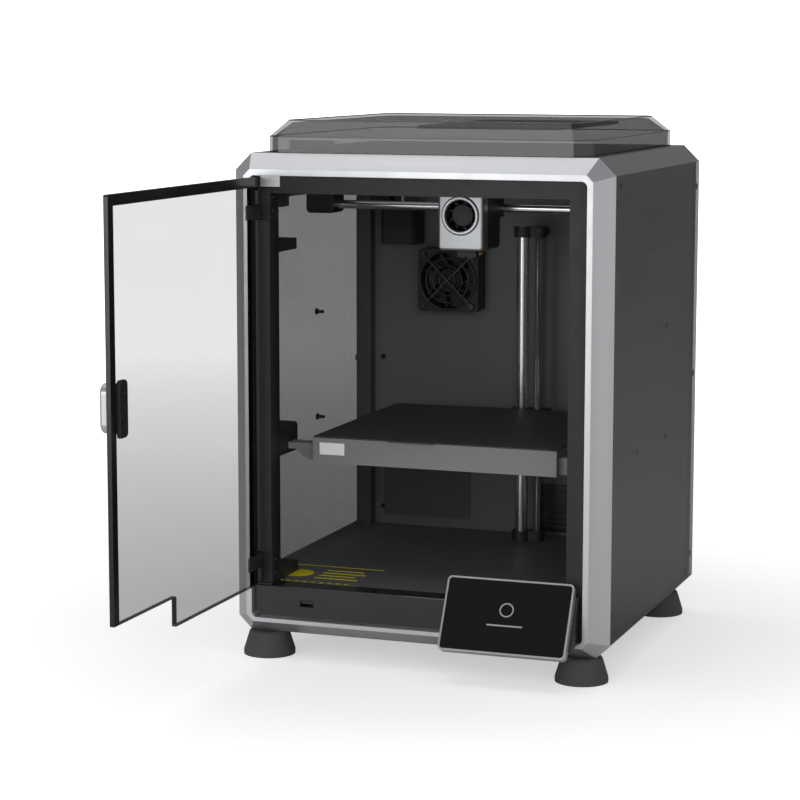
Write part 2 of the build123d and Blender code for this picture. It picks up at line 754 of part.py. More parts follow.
# two flat faces that meet over the pivot
with BuildPart() as power_switch:
    with BuildSketch(Plane.XY.offset(INLET_Z - SWITCH_H / 2 + 2)):
        with BuildLine():
            Polyline(
                (SWITCH_X - 6.7, rocker_y + 4.6),
                (SWITCH_X, rocker_y + 3.4),
                (SWITCH_X + 6.7, rocker_y + 2.2),
                (SWITCH_X + 6.2, rocker_y - 3.0),
                (SWITCH_X - 6.2, rocker_y - 1.0),
                close=True,
            )
        make_face()
        with Locations((SWITCH_X, rocker_y)):
            Circle(ROCKER_R + 1.4)
            Circle(ROCKER_R + ROCKER_FIT, mode=Mode.SUBTRACT)
    extrude(amount=SWITCH_H - 4)
keep("power_switch", power_switch)

PAN_TOP = BODY_BOTTOM + PANEL_T

with BuildPart() as power_supply:
    block(-62, 92, -110, -28, PAN_TOP, PAN_TOP + 30)
    with BuildSketch(Plane.XY.offset(PAN_TOP + 30)):
        with Locations((15, -69)):
            with GridLocations(9, 9, 14, 6):
                RegularPolygon(3, 6)
    extrude(amount=-1.0, mode=Mode.SUBTRACT)
keep("power_supply", power_supply)

with BuildPart() as mainboard:
    block(-150, -40, 30, 118, PAN_TOP + 4, PAN_TOP + 5.6)
    with Locations(*[(x, y, PAN_TOP + 2) for x in (-145, -45) for y in (35, 113)]):
        Cylinder(3, 4)
    block(-120, -96, 60, 84, PAN_TOP + 5.6, PAN_TOP + 8)
    for i in range(5):
        x = -146 + 21 * i
        block(x, x + 15, 96, 111, PAN_TOP + 5.6, PAN_TOP + 14)
        block(x, x + 12, 31, 39, PAN_TOP + 5.6, PAN_TOP + 12)
keep("mainboard", mainboard)

# ================================================================ XY motion
CORNER_OUT = 163.0
CORNER_IN = 135.0
CORNER_BOTTOM = 405.0
CORNER_TOP = 422.2
AXLE_R = 2.0
AXLE_TOP = BELT_Z[1] + BELT_W / 2 + 3.0
BRACKET_T = 2.0

# polished guide rods that are fixed to the frame: two along Y and three upright
with BuildPart() as guide_rods:
    for side in (-1, 1):
        rod_y(side * Y_ROD_X, Y_ROD_Z, FRONT_MOUNT_Y + 0.5, REAR_INNER - 1, ROD_R)
        post(side * SIDE_ROD[0], SIDE_ROD[1], FLOOR_TOP, Z_TOP, ROD_R)
    post(*REAR_ROD, FLOOR_TOP, Z_TOP, REAR_ROD_R)
    chamfer(guide_rods.edges().filter_by(GeomType.CIRCLE), 0.5)
keep("guide_rods", guide_rods)

# corner brackets: they hold the rod ends and the idler axles, the rear ones also the motors
with BuildPart() as corner_brackets:
    for side in (-1, 1):
        x0, x1 = sorted((side * CORNER_OUT, side * CORNER_IN))
        block(x0, x1, FRONT_MOUNT_Y, FRONT_MOUNT_Y + 19, CORNER_BOTTOM, CORNER_TOP)
        r0, r1 = sorted((side * (REAR_POST[0] - 0.5), side * CORNER_IN))
        block(r0, r1, REAR_POST[1], REAR_INNER - 0.5, MOTOR_TOP + BRACKET_T, CORNER_TOP)
        b0, b1 = sorted((side * (REAR_POST[0] - 0.5), side * (MOTOR_X - MOTOR_SIZE / 2)))
        block(
            b0, b1, MOTOR_Y - MOTOR_SIZE / 2, REAR_INNER - 0.5,
            MOTOR_TOP, MOTOR_TOP + BRACKET_T,
        )
        post(
            side * MOTOR_X, MOTOR_Y, MOTOR_TOP - 1, MOTOR_TOP + BRACKET_T + 1, 11.5,
            mode=Mode.SUBTRACT,
        )
        rod_y(
            side * Y_ROD_X, Y_ROD_Z, FRONT_MOUNT_Y - 1, REAR_INNER + 1, ROD_R + RUN_FIT,
            mode=Mode.SUBTRACT,
        )
        for y in (IDLER_FRONT_Y, IDLER_REAR_Y):
            post(side * IDLER_X, y, CORNER_TOP - 2, AXLE_TOP, AXLE_R)
            post(side * IDLER_X, y, AXLE_TOP, AXLE_TOP + 1.5, AXLE_R + 1.6)
keep("corner_brackets", corner_brackets)


def belt_pulley(x, y, bore_r, levels, root_r=PULLEY_R):
    """Flanged belt pulleys at the given belt heights on one bored sleeve."""
    low = levels[0] - BELT_W / 2 - 0.9
    high = levels[-1] + BELT_W / 2 + 0.9
    with BuildPart() as pulley:
        post(x, y, low, high, root_r - BELT_T / 2)
        for level in levels:
            for edge in (-1, 1):
                z = level + edge * (BELT_W / 2 + 0.5)
                post(x, y, z - 0.4, z + 0.4, root_r + 1.2)
        post(x, y, low - 1, high + 1, bore_r, mode=Mode.SUBTRACT)
    return pulley


idlers = {
    "idler_front_left": (-IDLER_X, IDLER_FRONT_Y),
    "idler_front_right": (IDLER_X, IDLER_FRONT_Y),
    "idler_rear_left": (-IDLER_X, IDLER_REAR_Y),
    "idler_rear_right": (IDLER_X, IDLER_REAR_Y),
}
for idler_name, (x, y) in idlers.items():
    keep(idler_name, belt_pulley(x, y, AXLE_R + RUN_FIT, BELT_Z))

# the left motor drives the lower belt, the right motor the upper one
for pulley_name, side, level in (("motor_pulley_left", -1, BELT_Z[0]), ("motor_pulley_right", 1, BELT_Z[1])):
    with BuildPart() as motor_pulley:
        add(belt_pulley(side * MOTOR_X, MOTOR_Y, SHAFT_R, (level,)).part)
        post(side * MOTOR_X, MOTOR_Y, MOTOR_TOP + 3, level + BELT_W / 2 + 0.9, SHAFT_R)
        post(side * MOTOR_X, MOTOR_Y, level - BELT_W / 2 - 6, level - BELT_W / 2 - 0.9, PULLEY_R)
    keep(pulley_name, motor_pulley)

Z_MOTOR_TOP = 44.0
Z_MOTOR_SIZE = 42.3


def stepper(x, y, bottom, top, size):
    """Square stepper body with cut corners, a boss and a bored nose for the shaft."""
    with BuildPart() as motor:
        with BuildSketch(Plane.XY.offset(bottom)):
            with BuildLine():
                cut_rect(x - size / 2, x + size / 2, y - size / 2, y + size / 2, size * 0.09)
            make_face()
        extrude(amount=top - bottom)
        post(x, y, top, top + 2, 11)
        post(x, y, bottom + 4, top + 3, SHAFT_R + 0.6, mode=Mode.SUBTRACT)
    return motor


with BuildPart() as stepper_motors:
    for side in (-1, 1):
        add(stepper(side * MOTOR_X, MOTOR_Y, MOTOR_TOP - MOTOR_H, MOTOR_TOP, MOTOR_SIZE).part)
    add(stepper(*Z_MOTOR, PAN_TOP, Z_MOTOR_TOP, Z_MOTOR_SIZE).part)
keep("stepper_motors", stepper_motors)


CARRIAGE_AXLE_R = 1.9
CARRIAGE_PULLEY_X = 137.0 - PULLEY_R


def carriage(side):
    """Block that rides on one Y rod and clamps the ends of the X rods."""
    x0, x1 = sorted((side * CARRIAGE_OUT, side * CARRIAGE_IN))
    with BuildPart() as body:
        block(x0, x1, -CARRIAGE_HALF_D, CARRIAGE_HALF_D, CARRIAGE_BOTTOM, CARRIAGE_TOP)
        fillet(body.edges().filter_by(Axis.Y).group_by(Axis.Z)[0], 4)
        fillet(body.edges().filter_by(Axis.Z), 2)
        p0, p1 = sorted((side * CARRIAGE_IN, side * (CARRIAGE_IN - 9.0)))
        block(p0, p1, -13, 13, CARRIAGE_TOP - 1.8, CARRIAGE_TOP - 0.3)
        rod_y(
            side * Y_ROD_X, Y_ROD_Z, -CARRIAGE_HALF_D - 1, CARRIAGE_HALF_D + 1,
            ROD_R + RUN_FIT, mode=Mode.SUBTRACT,
        )
        for z in X_ROD_Z:
            h0, h1 = sorted((side * (CARRIAGE_IN - 1), side * (CARRIAGE_IN + 10)))
            rod_x(0, z, h0, h1, ROD_R, mode=Mode.SUBTRACT)
        for y, level in ((-PULLEY_R, BELT_Z[0]), (PULLEY_R, BELT_Z[1])):
            post(
                side * CARRIAGE_PULLEY_X, y,
                CARRIAGE_TOP - 1, level + BELT_W / 2 + 1.4, CARRIAGE_AXLE_R,
            )
    return body


carriage_left = carriage(-1)
keep("carriage_left", carriage_left)
carriage_right = carriage(1)
keep("carriage_right", carriage_right)

with BuildPart() as x_rods:
    for z in X_ROD_Z:
        rod_x(0, z, -CARRIAGE_IN - 8, CARRIAGE_IN + 8, ROD_R)
keep("x_rods", x_rods)

with BuildPart() as carriage_pulleys:
    for side in (-1, 1):
        for y, level in ((-PULLEY_R, BELT_Z[0]), (PULLEY_R, BELT_Z[1])):
            wheel = belt_pulley(
                side * CARRIAGE_PULLEY_X, y, CARRIAGE_AXLE_R, (level,), PULLEY_R - 0.8,
            )
            add(wheel.part)
keep("carriage_pulleys", carriage_pulleys)

CLAMP_HALF_W = 9.0

with BuildPart() as x_belts:
    for level, y in zip(BELT_Z, (-0.2, 0.2)):
        block(
            -CARRIAGE_PULLEY_X, CARRIAGE_PULLEY_X, y - BELT_T / 2, y + BELT_T / 2,
            level - BELT_W / 2, level + BELT_W / 2,
        )
keep("x_belts", x_belts)

# ================================================================ print head
HEAD_WALL = 1.8
RING_PROUD = 1.0
BELT_SLOT = 0.8

with BuildPart() as head_cover:
    with BuildSketch(front_plane(HEAD_SPLIT)):
        with Locations((HEAD_X, (HEAD_BOTTOM + HEAD_TOP) / 2)):
            RectangleRounded(2 * HEAD_HALF_W, HEAD_TOP - HEAD_BOTTOM, 4)
    extrude(amount=HEAD_SPLIT - HEAD_FRONT - RING_PROUD)
    fillet(head_cover.faces().sort_by(Axis.Y)[0].edges(), 2.5)
    with BuildSketch(front_plane(HEAD_SPLIT)):
        with Locations((HEAD_X, (HEAD_BOTTOM + HEAD_TOP) / 2)):
            RectangleRounded(
                2 * (HEAD_HALF_W - HEAD_WALL), HEAD_TOP - HEAD_BOTTOM - 2 * HEAD_WALL, 2.5,
            )
    extrude(amount=HEAD_SPLIT - HEAD_FRONT - RING_PROUD - HEAD_WALL, mode=Mode.SUBTRACT)
    rod_y(HEAD_X, HEAD_RING_Z, HEAD_FRONT, HEAD_FRONT + 3, HEAD_RING_R)
    rod_y(HEAD_X, HEAD_RING_Z, HEAD_FRONT - 1, HEAD_SPLIT, HEAD_BORE_R, mode=Mode.SUBTRACT)
    chamfer(head_cover.faces().sort_by(Axis.Y)[0].edges(), 0.6)
keep("head_cover", head_cover)

FAN_PIN_R = 1.5
POCKET_HALF_W = 12.0
BODY_STEP_DEPTH = 4.6
BODY_STEP_Z = 418.0

with BuildPart() as head_body:
    with BuildSketch(front_plane(HEAD_REAR)):
        with Locations((HEAD_X, (HEAD_BOTTOM + HEAD_TOP) / 2 + 1.3)):
            RectangleRounded(2 * HEAD_HALF_W, HEAD_TOP - HEAD_BOTTOM + 2.6, 3)
    extrude(amount=HEAD_REAR - HEAD_SPLIT)
    # step at the top edge, which passes under the liner at the front end of the travel
    block(
        HEAD_X - 30, HEAD_X + 30,
        HEAD_SPLIT - 1, HEAD_SPLIT + BODY_STEP_DEPTH,
        BODY_STEP_Z, BODY_STEP_Z + 5,
        mode=Mode.SUBTRACT,
    )
    block(
        HEAD_X - 30, HEAD_X + 30, -6.0, HEAD_REAR + 1, HEAD_BOTTOM - 1, 392.0,
        mode=Mode.SUBTRACT,
    )
    block(
        HEAD_X - POCKET_HALF_W, HEAD_X + POCKET_HALF_W, -26, -5, HEAD_BOTTOM - 1, 390.0,
        mode=Mode.SUBTRACT,
    )
    block(
        HEAD_X - 14, HEAD_X + 14, HEAD_SPLIT - 1, -31, 379.0, 412.0,
        mode=Mode.SUBTRACT,
    )
    rod_y(HEAD_X, HEAD_RING_Z, HEAD_SPLIT - 8, -30, FAN_PIN_R)
    block(
        HEAD_X - CLAMP_HALF_W, HEAD_X + CLAMP_HALF_W, -5.5, HEAD_REAR,
        HEAD_TOP + 1, BELT_Z[1] + BELT_W / 2 + 1,
    )
    for level, y in zip(BELT_Z, (-0.2, 0.2)):
        block(
            HEAD_X - 20, HEAD_X + 20, y - BELT_SLOT, y + BELT_SLOT,
            level - BELT_W / 2 - 0.2, level + BELT_W / 2 + 0.2, mode=Mode.SUBTRACT,
        )
    for z in X_ROD_Z:
        rod_x(0, z, HEAD_X - 30, HEAD_X + 30, ROD_R + RUN_FIT, mode=Mode.SUBTRACT)

    # duct that blows on the fresh print, in front of the nozzle
    block(HEAD_X - 9, HEAD_X + 9, -38, -30, NOZZLE_Z + 5, HEAD_BOTTOM + 1)
    block(
        HEAD_X - 7.5, HEAD_X + 7.5, -36.5, -31.5, NOZZLE_Z + 4, HEAD_BOTTOM + 14,
        mode=Mode.SUBTRACT,
    )
keep("head_body", head_body)

HEAD_FAN_BLADES = 9

with BuildPart() as head_fan_rotor:
    rod_y(HEAD_X, HEAD_RING_Z, -49.8, -43, HEAD_HUB_R)
    fillet(head_fan_rotor.faces().sort_by(Axis.Y)[0].edges(), 1.0)
    with BuildSketch(front_plane(-44)):
        with Locations((HEAD_X, HEAD_RING_Z)):
            with PolarLocations(11.6, HEAD_FAN_BLADES):
                Rectangle(4.2, 1.6, rotation=38)
    extrude(amount=4.5)
    rod_y(HEAD_X, HEAD_RING_Z, -51, -42, FAN_PIN_R + RUN_FIT, mode=Mode.SUBTRACT)
keep("head_fan_rotor", head_fan_rotor)

with BuildPart() as hotend:
    with BuildSketch(Plane(origin=(HEAD_X, NOZZLE_Y, 0), x_dir=(1, 0, 0), z_dir=(0, -1, 0))):
        with BuildLine():
            Polyline(
                (0, NOZZLE_Z),
                (0.6, NOZZLE_Z),
                (3.2, NOZZLE_Z + 3),
                (3.2, NOZZLE_Z + 6),
                (2.2, NOZZLE_Z + 6),
                (2.2, 389.5),
                (0, 389.5),
                close=True,
            )
        make_face()
    revolve(axis=Axis((HEAD_X, NOZZLE_Y, 0), (0, 0, 1)))
    for z in (373.0, 376.2, 379.4, 382.6, 385.8):
        post(HEAD_X, NOZZLE_Y, z - 0.8, z + 0.8, 4.8)
    block(HEAD_X - 8, HEAD_X + 8, NOZZLE_Y - 8, NOZZLE_Y + 4, NOZZLE_Z + 6, NOZZLE_Z + 16)
keep("hotend", hotend)

EXTRUDER_Z = 432.0
GEAR_X = HEAD_X + 5.2
GEAR_R = 4.8
EXTRUDER_TOP = 444.0

with BuildPart() as extruder_body:
    block(HEAD_X - 11.5, HEAD_X + 11.5, -18, -6.2, HEAD_TOP + 2.6, EXTRUDER_TOP)
    fillet(extruder_body.edges().filter_by(Axis.Y), 2)
    rod_y(GEAR_X, EXTRUDER_Z, -19, -8, GEAR_R + 0.6, mode=Mode.SUBTRACT)
    post(HEAD_X, -12, HEAD_TOP, EXTRUDER_TOP + 1, 1.1, mode=Mode.SUBTRACT)
    post(HEAD_X, -12, EXTRUDER_TOP - 0.5, EXTRUDER_TOP + 2.5, 4.5)
    post(HEAD_X, -12, EXTRUDER_TOP - 1, EXTRUDER_TOP + 3, 2.1, mode=Mode.SUBTRACT)
keep("extruder_body", extruder_body)

with BuildPart() as extruder_motor:
    rod_y(GEAR_X, EXTRUDER_Z, -37, -18.1, 11.8)
    chamfer(extruder_motor.edges().filter_by(GeomType.CIRCLE), 0.8)
    rod_y(GEAR_X, EXTRUDER_Z, -30, -18, 2.1, mode=Mode.SUBTRACT)
keep("extruder_motor", extruder_motor)

GEAR_TEETH = 20

with BuildPart() as extruder_gear:
    rod_y(GEAR_X, EXTRUDER_Z, -16.5, -9, GEAR_R)
    with BuildSketch(front_plane(-9)):
        with Locations((GEAR_X, EXTRUDER_Z)):
            with PolarLocations(GEAR_R, GEAR_TEETH):
                RegularPolygon(0.4, 4)
    extrude(amount=7.5, mode=Mode.SUBTRACT)
    rod_y(GEAR_X, EXTRUDER_Z, -28, -10, 2.0)
keep("extruder_gear", extruder_gear)

# ================================================================ bed
BED_BOTTOM = BED_TOP - BED_H
TRAY_WALL = 2.0
HEATER_TOP = BED_TOP - PLATE_T
ARM_BOTTOM = BED_BOTTOM + 4
ARM_TOP = BED_BOTTOM + 16
BUSH_BOTTOM = BED_BOTTOM + 5
BUSH_TOP = BED_BOTTOM + 32
CORNER_CUT = 4.0
REAR_BUSH_FRONT = 118.5

with BuildPart() as build_plate:
    with BuildSketch(Plane.XY.offset(HEATER_TOP)):
        with BuildLine():
            cut_rect(-BED_HALF_W, BED_HALF_W, -BED_HALF_D, BED_HALF_D, CORNER_CUT)
        make_face()
        with Locations((-92, -BED_HALF_D), (102, -BED_HALF_D)):
            Rectangle(15, 5, mode=Mode.SUBTRACT)
        with Locations((-20, -BED_HALF_D - 1)):
            Rectangle(44, 4)
        with Locations((-28, BED_HALF_D + 1)):
            Rectangle(44, 4)
    extrude(amount=PLATE_T)
keep("build_plate", build_plate)

with BuildPart() as heated_bed:
    block(-110, 110, -108, 108, HEATER_TOP - HEATER_T, HEATER_TOP)
    for x in (-100, 100):
        for y in (-98, 98):
            post(x, y, BED_BOTTOM + TRAY_WALL, HEATER_TOP - HEATER_T, 4)
keep("heated_bed", heated_bed)

with BuildPart() as bed_frame:
    block(-BED_HALF_W, BED_HALF_W, -BED_HALF_D, BED_HALF_D, BED_BOTTOM, HEATER_TOP)
    block(
        -BED_HALF_W + TRAY_WALL, BED_HALF_W - TRAY_WALL,
        -BED_HALF_D + TRAY_WALL, BED_HALF_D - TRAY_WALL,
        BED_BOTTOM + TRAY_WALL, HEATER_TOP + 1,
        mode=Mode.SUBTRACT,
    )
    with BuildSketch(Plane.XY.offset(BED_BOTTOM)):
        with GridLocations(104, 100, 2, 2):
            RectangleRounded(80, 76, 8)
    extrude(amount=TRAY_WALL, mode=Mode.SUBTRACT)

    # side arms, deeper where they meet the tray
    for side in (-1, 1):
        with BuildSketch(front_plane(-88)):
            with BuildLine():
                Polyline(
                    (side * BED_HALF_W, ARM_BOTTOM - 3),
                    (side * (BED_HALF_W + 9), ARM_BOTTOM - 3),
                    (side * (BED_HALF_W + 20), ARM_TOP - 6),
                    (side * 142, ARM_TOP - 6),
                    (side * 142, ARM_TOP),
                    (side * BED_HALF_W, ARM_TOP),
                    close=True,
                )
            make_face()
        extrude(amount=16)
    block(-1, 37, BED_HALF_D, REAR_BUSH_FRONT, ARM_BOTTOM, ARM_TOP)
keep("bed_frame", bed_frame)

# bushing and lead-nut housings, one at each screw
with BuildPart() as bed_bushings:
    for side in (-1, 1):
        x0, x1 = sorted((side * 142, side * 168))
        block(x0, x1, -130.5, -82, BUSH_BOTTOM, BUSH_TOP)
        fillet(
            bed_bushings.edges().filter_by(Axis.Y).filter_by_position(
                Axis.X, min(side * 141, side * 143), max(side * 141, side * 143),
            ),
            3,
        )
        post(
            side * SIDE_SCREW[0], SIDE_SCREW[1], BUSH_BOTTOM - 1, BUSH_TOP + 1,
            SCREW_R + RUN_FIT, mode=Mode.SUBTRACT,
        )
        post(
            side * SIDE_ROD[0], SIDE_ROD[1], BUSH_BOTTOM - 1, BUSH_TOP + 1,
            ROD_R + RUN_FIT, mode=Mode.SUBTRACT,
        )
    block(-1, 37, REAR_BUSH_FRONT, 137, BUSH_BOTTOM, BUSH_TOP - 9)
    post(*REAR_SCREW, BUSH_BOTTOM - 1, BUSH_TOP + 1, SCREW_R + RUN_FIT, mode=Mode.SUBTRACT)
    post(*REAR_ROD, BUSH_BOTTOM - 1, BUSH_TOP + 1, REAR_ROD_R + RUN_FIT, mode=Mode.SUBTRACT)
keep("bed_bushings", bed_bushings)

# ================================================================ Z drive
END_BLOCK_H = 10.0
Z_LEVEL = Z_PULLEY_Z + 3

with BuildPart() as z_end_blocks:
    for z0 in (FLOOR_TOP, Z_TOP - END_BLOCK_H):
        for side in (-1, 1):
            x0, x1 = sorted((side * 142, side * 166))
            block(x0, x1, LINER_REAR + 0.5, -82, z0, z0 + END_BLOCK_H)
        post(*REAR_ROD, z0, z0 + END_BLOCK_H, 9)
        post(*REAR_SCREW, z0, z0 + END_BLOCK_H, 7)
        block(REAR_ROD[0], REAR_SCREW[0], 121, 133, z0, z0 + END_BLOCK_H)
    block(REAR_ROD[0], REAR_SCREW[0], 130, REAR_INNER, Z_TOP - END_BLOCK_H, Z_TOP - 4)
    for side in (-1, 1):
        post(
            side * SIDE_SCREW[0], SIDE_SCREW[1], FLOOR_TOP - 1, Z_TOP + 1,
            SCREW_R + RUN_FIT, mode=Mode.SUBTRACT,
        )
        post(
            side * SIDE_ROD[0], SIDE_ROD[1], FLOOR_TOP - 1, Z_TOP + 1,
            ROD_R + RUN_FIT, mode=Mode.SUBTRACT,
        )
    post(*REAR_SCREW, FLOOR_TOP - 1, Z_TOP + 1, SCREW_R + RUN_FIT, mode=Mode.SUBTRACT)
    post(*REAR_ROD, FLOOR_TOP - 1, Z_TOP + 1, REAR_ROD_R + RUN_FIT, mode=Mode.SUBTRACT)
keep("z_end_blocks", z_end_blocks)

Z_PULLEY_LEVELS = (Z_LEVEL,)
screws = {
    "lead_screw_left": (-SIDE_SCREW[0], SIDE_SCREW[1]),
    "lead_screw_right": SIDE_SCREW,
    "lead_screw_rear": REAR_SCREW,
}
for screw_name, (x, y) in screws.items():
    with BuildPart() as lead_screw:
        post(x, y, Z_LEVEL - 5, Z_TOP - 1, SCREW_R)
        chamfer(lead_screw.edges().filter_by(GeomType.CIRCLE), 0.6)
        add(belt_pulley(x, y, SCREW_R - 1, Z_PULLEY_LEVELS, Z_PULLEY_R).part)
    keep(screw_name, lead_screw)

with BuildPart() as z_motor_pulley:
    post(*Z_MOTOR, Z_MOTOR_TOP - 12, Z_LEVEL + 4, SHAFT_R)
    add(belt_pulley(*Z_MOTOR, SHAFT_R - 0.5, Z_PULLEY_LEVELS, Z_PULLEY_R).part)
keep("z_motor_pulley", z_motor_pulley)

BELT_INNER = 0.1


def belt_loop(centres, radius, level):
    """A belt stretched round pulleys that stand at the given centres."""
    with BuildPart() as loop:
        for grow, mode in ((BELT_T + BELT_INNER, Mode.ADD), (BELT_INNER, Mode.SUBTRACT)):
            with BuildSketch(Plane.XY.offset(level - BELT_W / 2)):
                with Locations(*centres):
                    Circle(radius - BELT_T / 2 + grow)
                make_hull()
            extrude(amount=BELT_W, mode=mode)
    return loop


# belts that stay in place: the Z loop, and the runs of the two XY belts along the sides and back
RUN_OUT = IDLER_X + PULLEY_R
RUN_IN = IDLER_X - PULLEY_R

z_pulley_centres = [(-SIDE_SCREW[0], SIDE_SCREW[1]), SIDE_SCREW, Z_MOTOR, REAR_SCREW]

with BuildPart() as frame_belts:
    add(belt_loop(z_pulley_centres, Z_PULLEY_R, Z_LEVEL).part)
    for level in BELT_Z:
        low = level - BELT_W / 2
        for side in (-1, 1):
            for run in (RUN_OUT, RUN_IN):
                x0, x1 = sorted((side * (run - BELT_T / 2), side * (run + BELT_T / 2)))
                block(x0, x1, IDLER_FRONT_Y, IDLER_REAR_Y, low, low + BELT_W)
            with BuildSketch(Plane.XY.offset(low)):
                with Locations((side * IDLER_X, IDLER_FRONT_Y)):
                    Circle(PULLEY_R + BELT_T / 2)
                    Circle(PULLEY_R - BELT_T / 2, mode=Mode.SUBTRACT)
                    Rectangle(40, 40, align=(Align.CENTER, Align.MIN), mode=Mode.SUBTRACT)
                with Locations((side * IDLER_X, IDLER_REAR_Y)):
                    Circle(PULLEY_R + BELT_T / 2)
                    Circle(PULLEY_R - BELT_T / 2, mode=Mode.SUBTRACT)
                    Rectangle(40, 40, align=(Align.CENTER, Align.MAX), mode=Mode.SUBTRACT)
            extrude(amount=BELT_W)
        block(
            -IDLER_X, IDLER_X, IDLER_REAR_Y + PULLEY_R - BELT_T / 2,
            IDLER_REAR_Y + PULLEY_R + BELT_T / 2, low, low + BELT_W,
        )
keep("frame_belts", frame_belts)

# ================================================================ chamber fan
FAN_BLADES = 7
GUARD_Y = FAN_FRONT - 2.5
GUARD_WIRE_R = 0.9
FAN_SCREW_PITCH = 50.0

with BuildPart() as chamber_fan_housing:
    with BuildSketch(front_plane(REAR_INNER)):
        with Locations((FAN_X, FAN_Z)):
            RectangleRounded(FAN_SIZE, FAN_SIZE, 4)
            Circle(FAN_BORE_R, mode=Mode.SUBTRACT)
            with GridLocations(FAN_SCREW_PITCH, FAN_SCREW_PITCH, 2, 2):
                Circle(1.6, mode=Mode.SUBTRACT)
    extrude(amount=REAR_INNER - FAN_FRONT)
    for angle in (45, 135):
        with Locations(Location((FAN_X, REAR_INNER - 2, FAN_Z), (0, angle, 0))):
            Box(2 * FAN_BORE_R + 2, 3, 4)
    rod_y(FAN_X, FAN_Z, REAR_INNER - 5, REAR_INNER, FAN_HUB_R)
    rod_y(FAN_X, FAN_Z, FAN_FRONT + 4, REAR_INNER - 4, FAN_PIN_R)
keep("chamber_fan_housing", chamber_fan_housing)

with BuildPart() as chamber_fan_rotor:
    rod_y(FAN_X, FAN_Z, FAN_FRONT + 2, REAR_INNER - 5.5, FAN_HUB_R)
    fillet(chamber_fan_rotor.faces().sort_by(Axis.Y)[0].edges(), 1.0)
    with BuildSketch(front_plane(REAR_INNER - 7)):
        with Locations((FAN_X, FAN_Z)):
            with PolarLocations(19.4, FAN_BLADES):
                Rectangle(16, 2.2, rotation=24)
    extrude(amount=13)
    rod_y(
        FAN_X, FAN_Z, FAN_FRONT, REAR_INNER, FAN_PIN_R + RUN_FIT, mode=Mode.SUBTRACT,
    )
keep("chamber_fan_rotor", chamber_fan_rotor)

with BuildPart() as chamber_fan_guard:
    for radius in (8.0, 15.0, 22.0, 28.5):
        with Locations(Location((FAN_X, GUARD_Y, FAN_Z), (90, 0, 0))):
            Torus(radius, GUARD_WIRE_R)
    for angle in (45, 135):
        with Locations(Location((FAN_X, GUARD_Y, FAN_Z), (0, angle, 0))):
            Box(FAN_SCREW_PITCH * math.sqrt(2), 1.6, 1.6)
    for dx in (-1, 1):
        for dz in (-1, 1):
            x = FAN_X + dx * FAN_SCREW_PITCH / 2
            z = FAN_Z + dz * FAN_SCREW_PITCH / 2
            rod_y(x, z, GUARD_Y - 1.8, FAN_FRONT, 2.8)
            rod_y(x, z, FAN_FRONT, REAR_INNER - 1, 1.5)
keep("chamber_fan_guard", chamber_fan_guard)

# ================================================================ lid
LID_CORNER = 14.0
LID_TOP_CORNER = 6.0


def lid_base(inset):
    """Outline of the lid's upright skirt, shrunk by inset."""
    cut_rect(
        -LID_HALF_W + inset, LID_HALF_W - inset, LID_FRONT + inset, LID_REAR - inset,
        LID_CORNER - 0.586 * inset,
    )


def lid_plateau(inset):
    """Outline of the lid's flat top, shrunk by inset."""
    cut_rect(
        -LID_TOP_HALF_W + inset, LID_TOP_HALF_W - inset,
        LID_TOP_FRONT + inset, LID_TOP_REAR - inset,
        LID_TOP_CORNER,
    )


with BuildPart() as lid:
    for inset, shoulder, top, mode in (
        (0, LID_SHOULDER, LID_TOP, Mode.ADD),
        (LID_WALL, LID_SHOULDER - 1, LID_TOP - LID_WALL, Mode.SUBTRACT),
    ):
        with BuildSketch(Plane.XY.offset(BODY_TOP)):
            with BuildLine():
                lid_base(inset)
            make_face()
        extrude(amount=shoulder - BODY_TOP, mode=mode)
        with BuildSketch(Plane.XY.offset(shoulder)):
            with BuildLine():
                lid_base(inset)
            make_face()
        with BuildSketch(Plane.XY.offset(top)):
            with BuildLine():
                lid_plateau(inset)
            make_face()
        loft(mode=mode)
keep("lid", lid)

# ================================================================ write the pieces
os.makedirs("parts", exist_ok=True)
for node, piece in made.items():
    export_step(piece, f"parts/{node}.step")
print(len(made), "pieces")
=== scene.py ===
"""Looks for an enclosed desktop 3-D printer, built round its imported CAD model."""
import json
import math

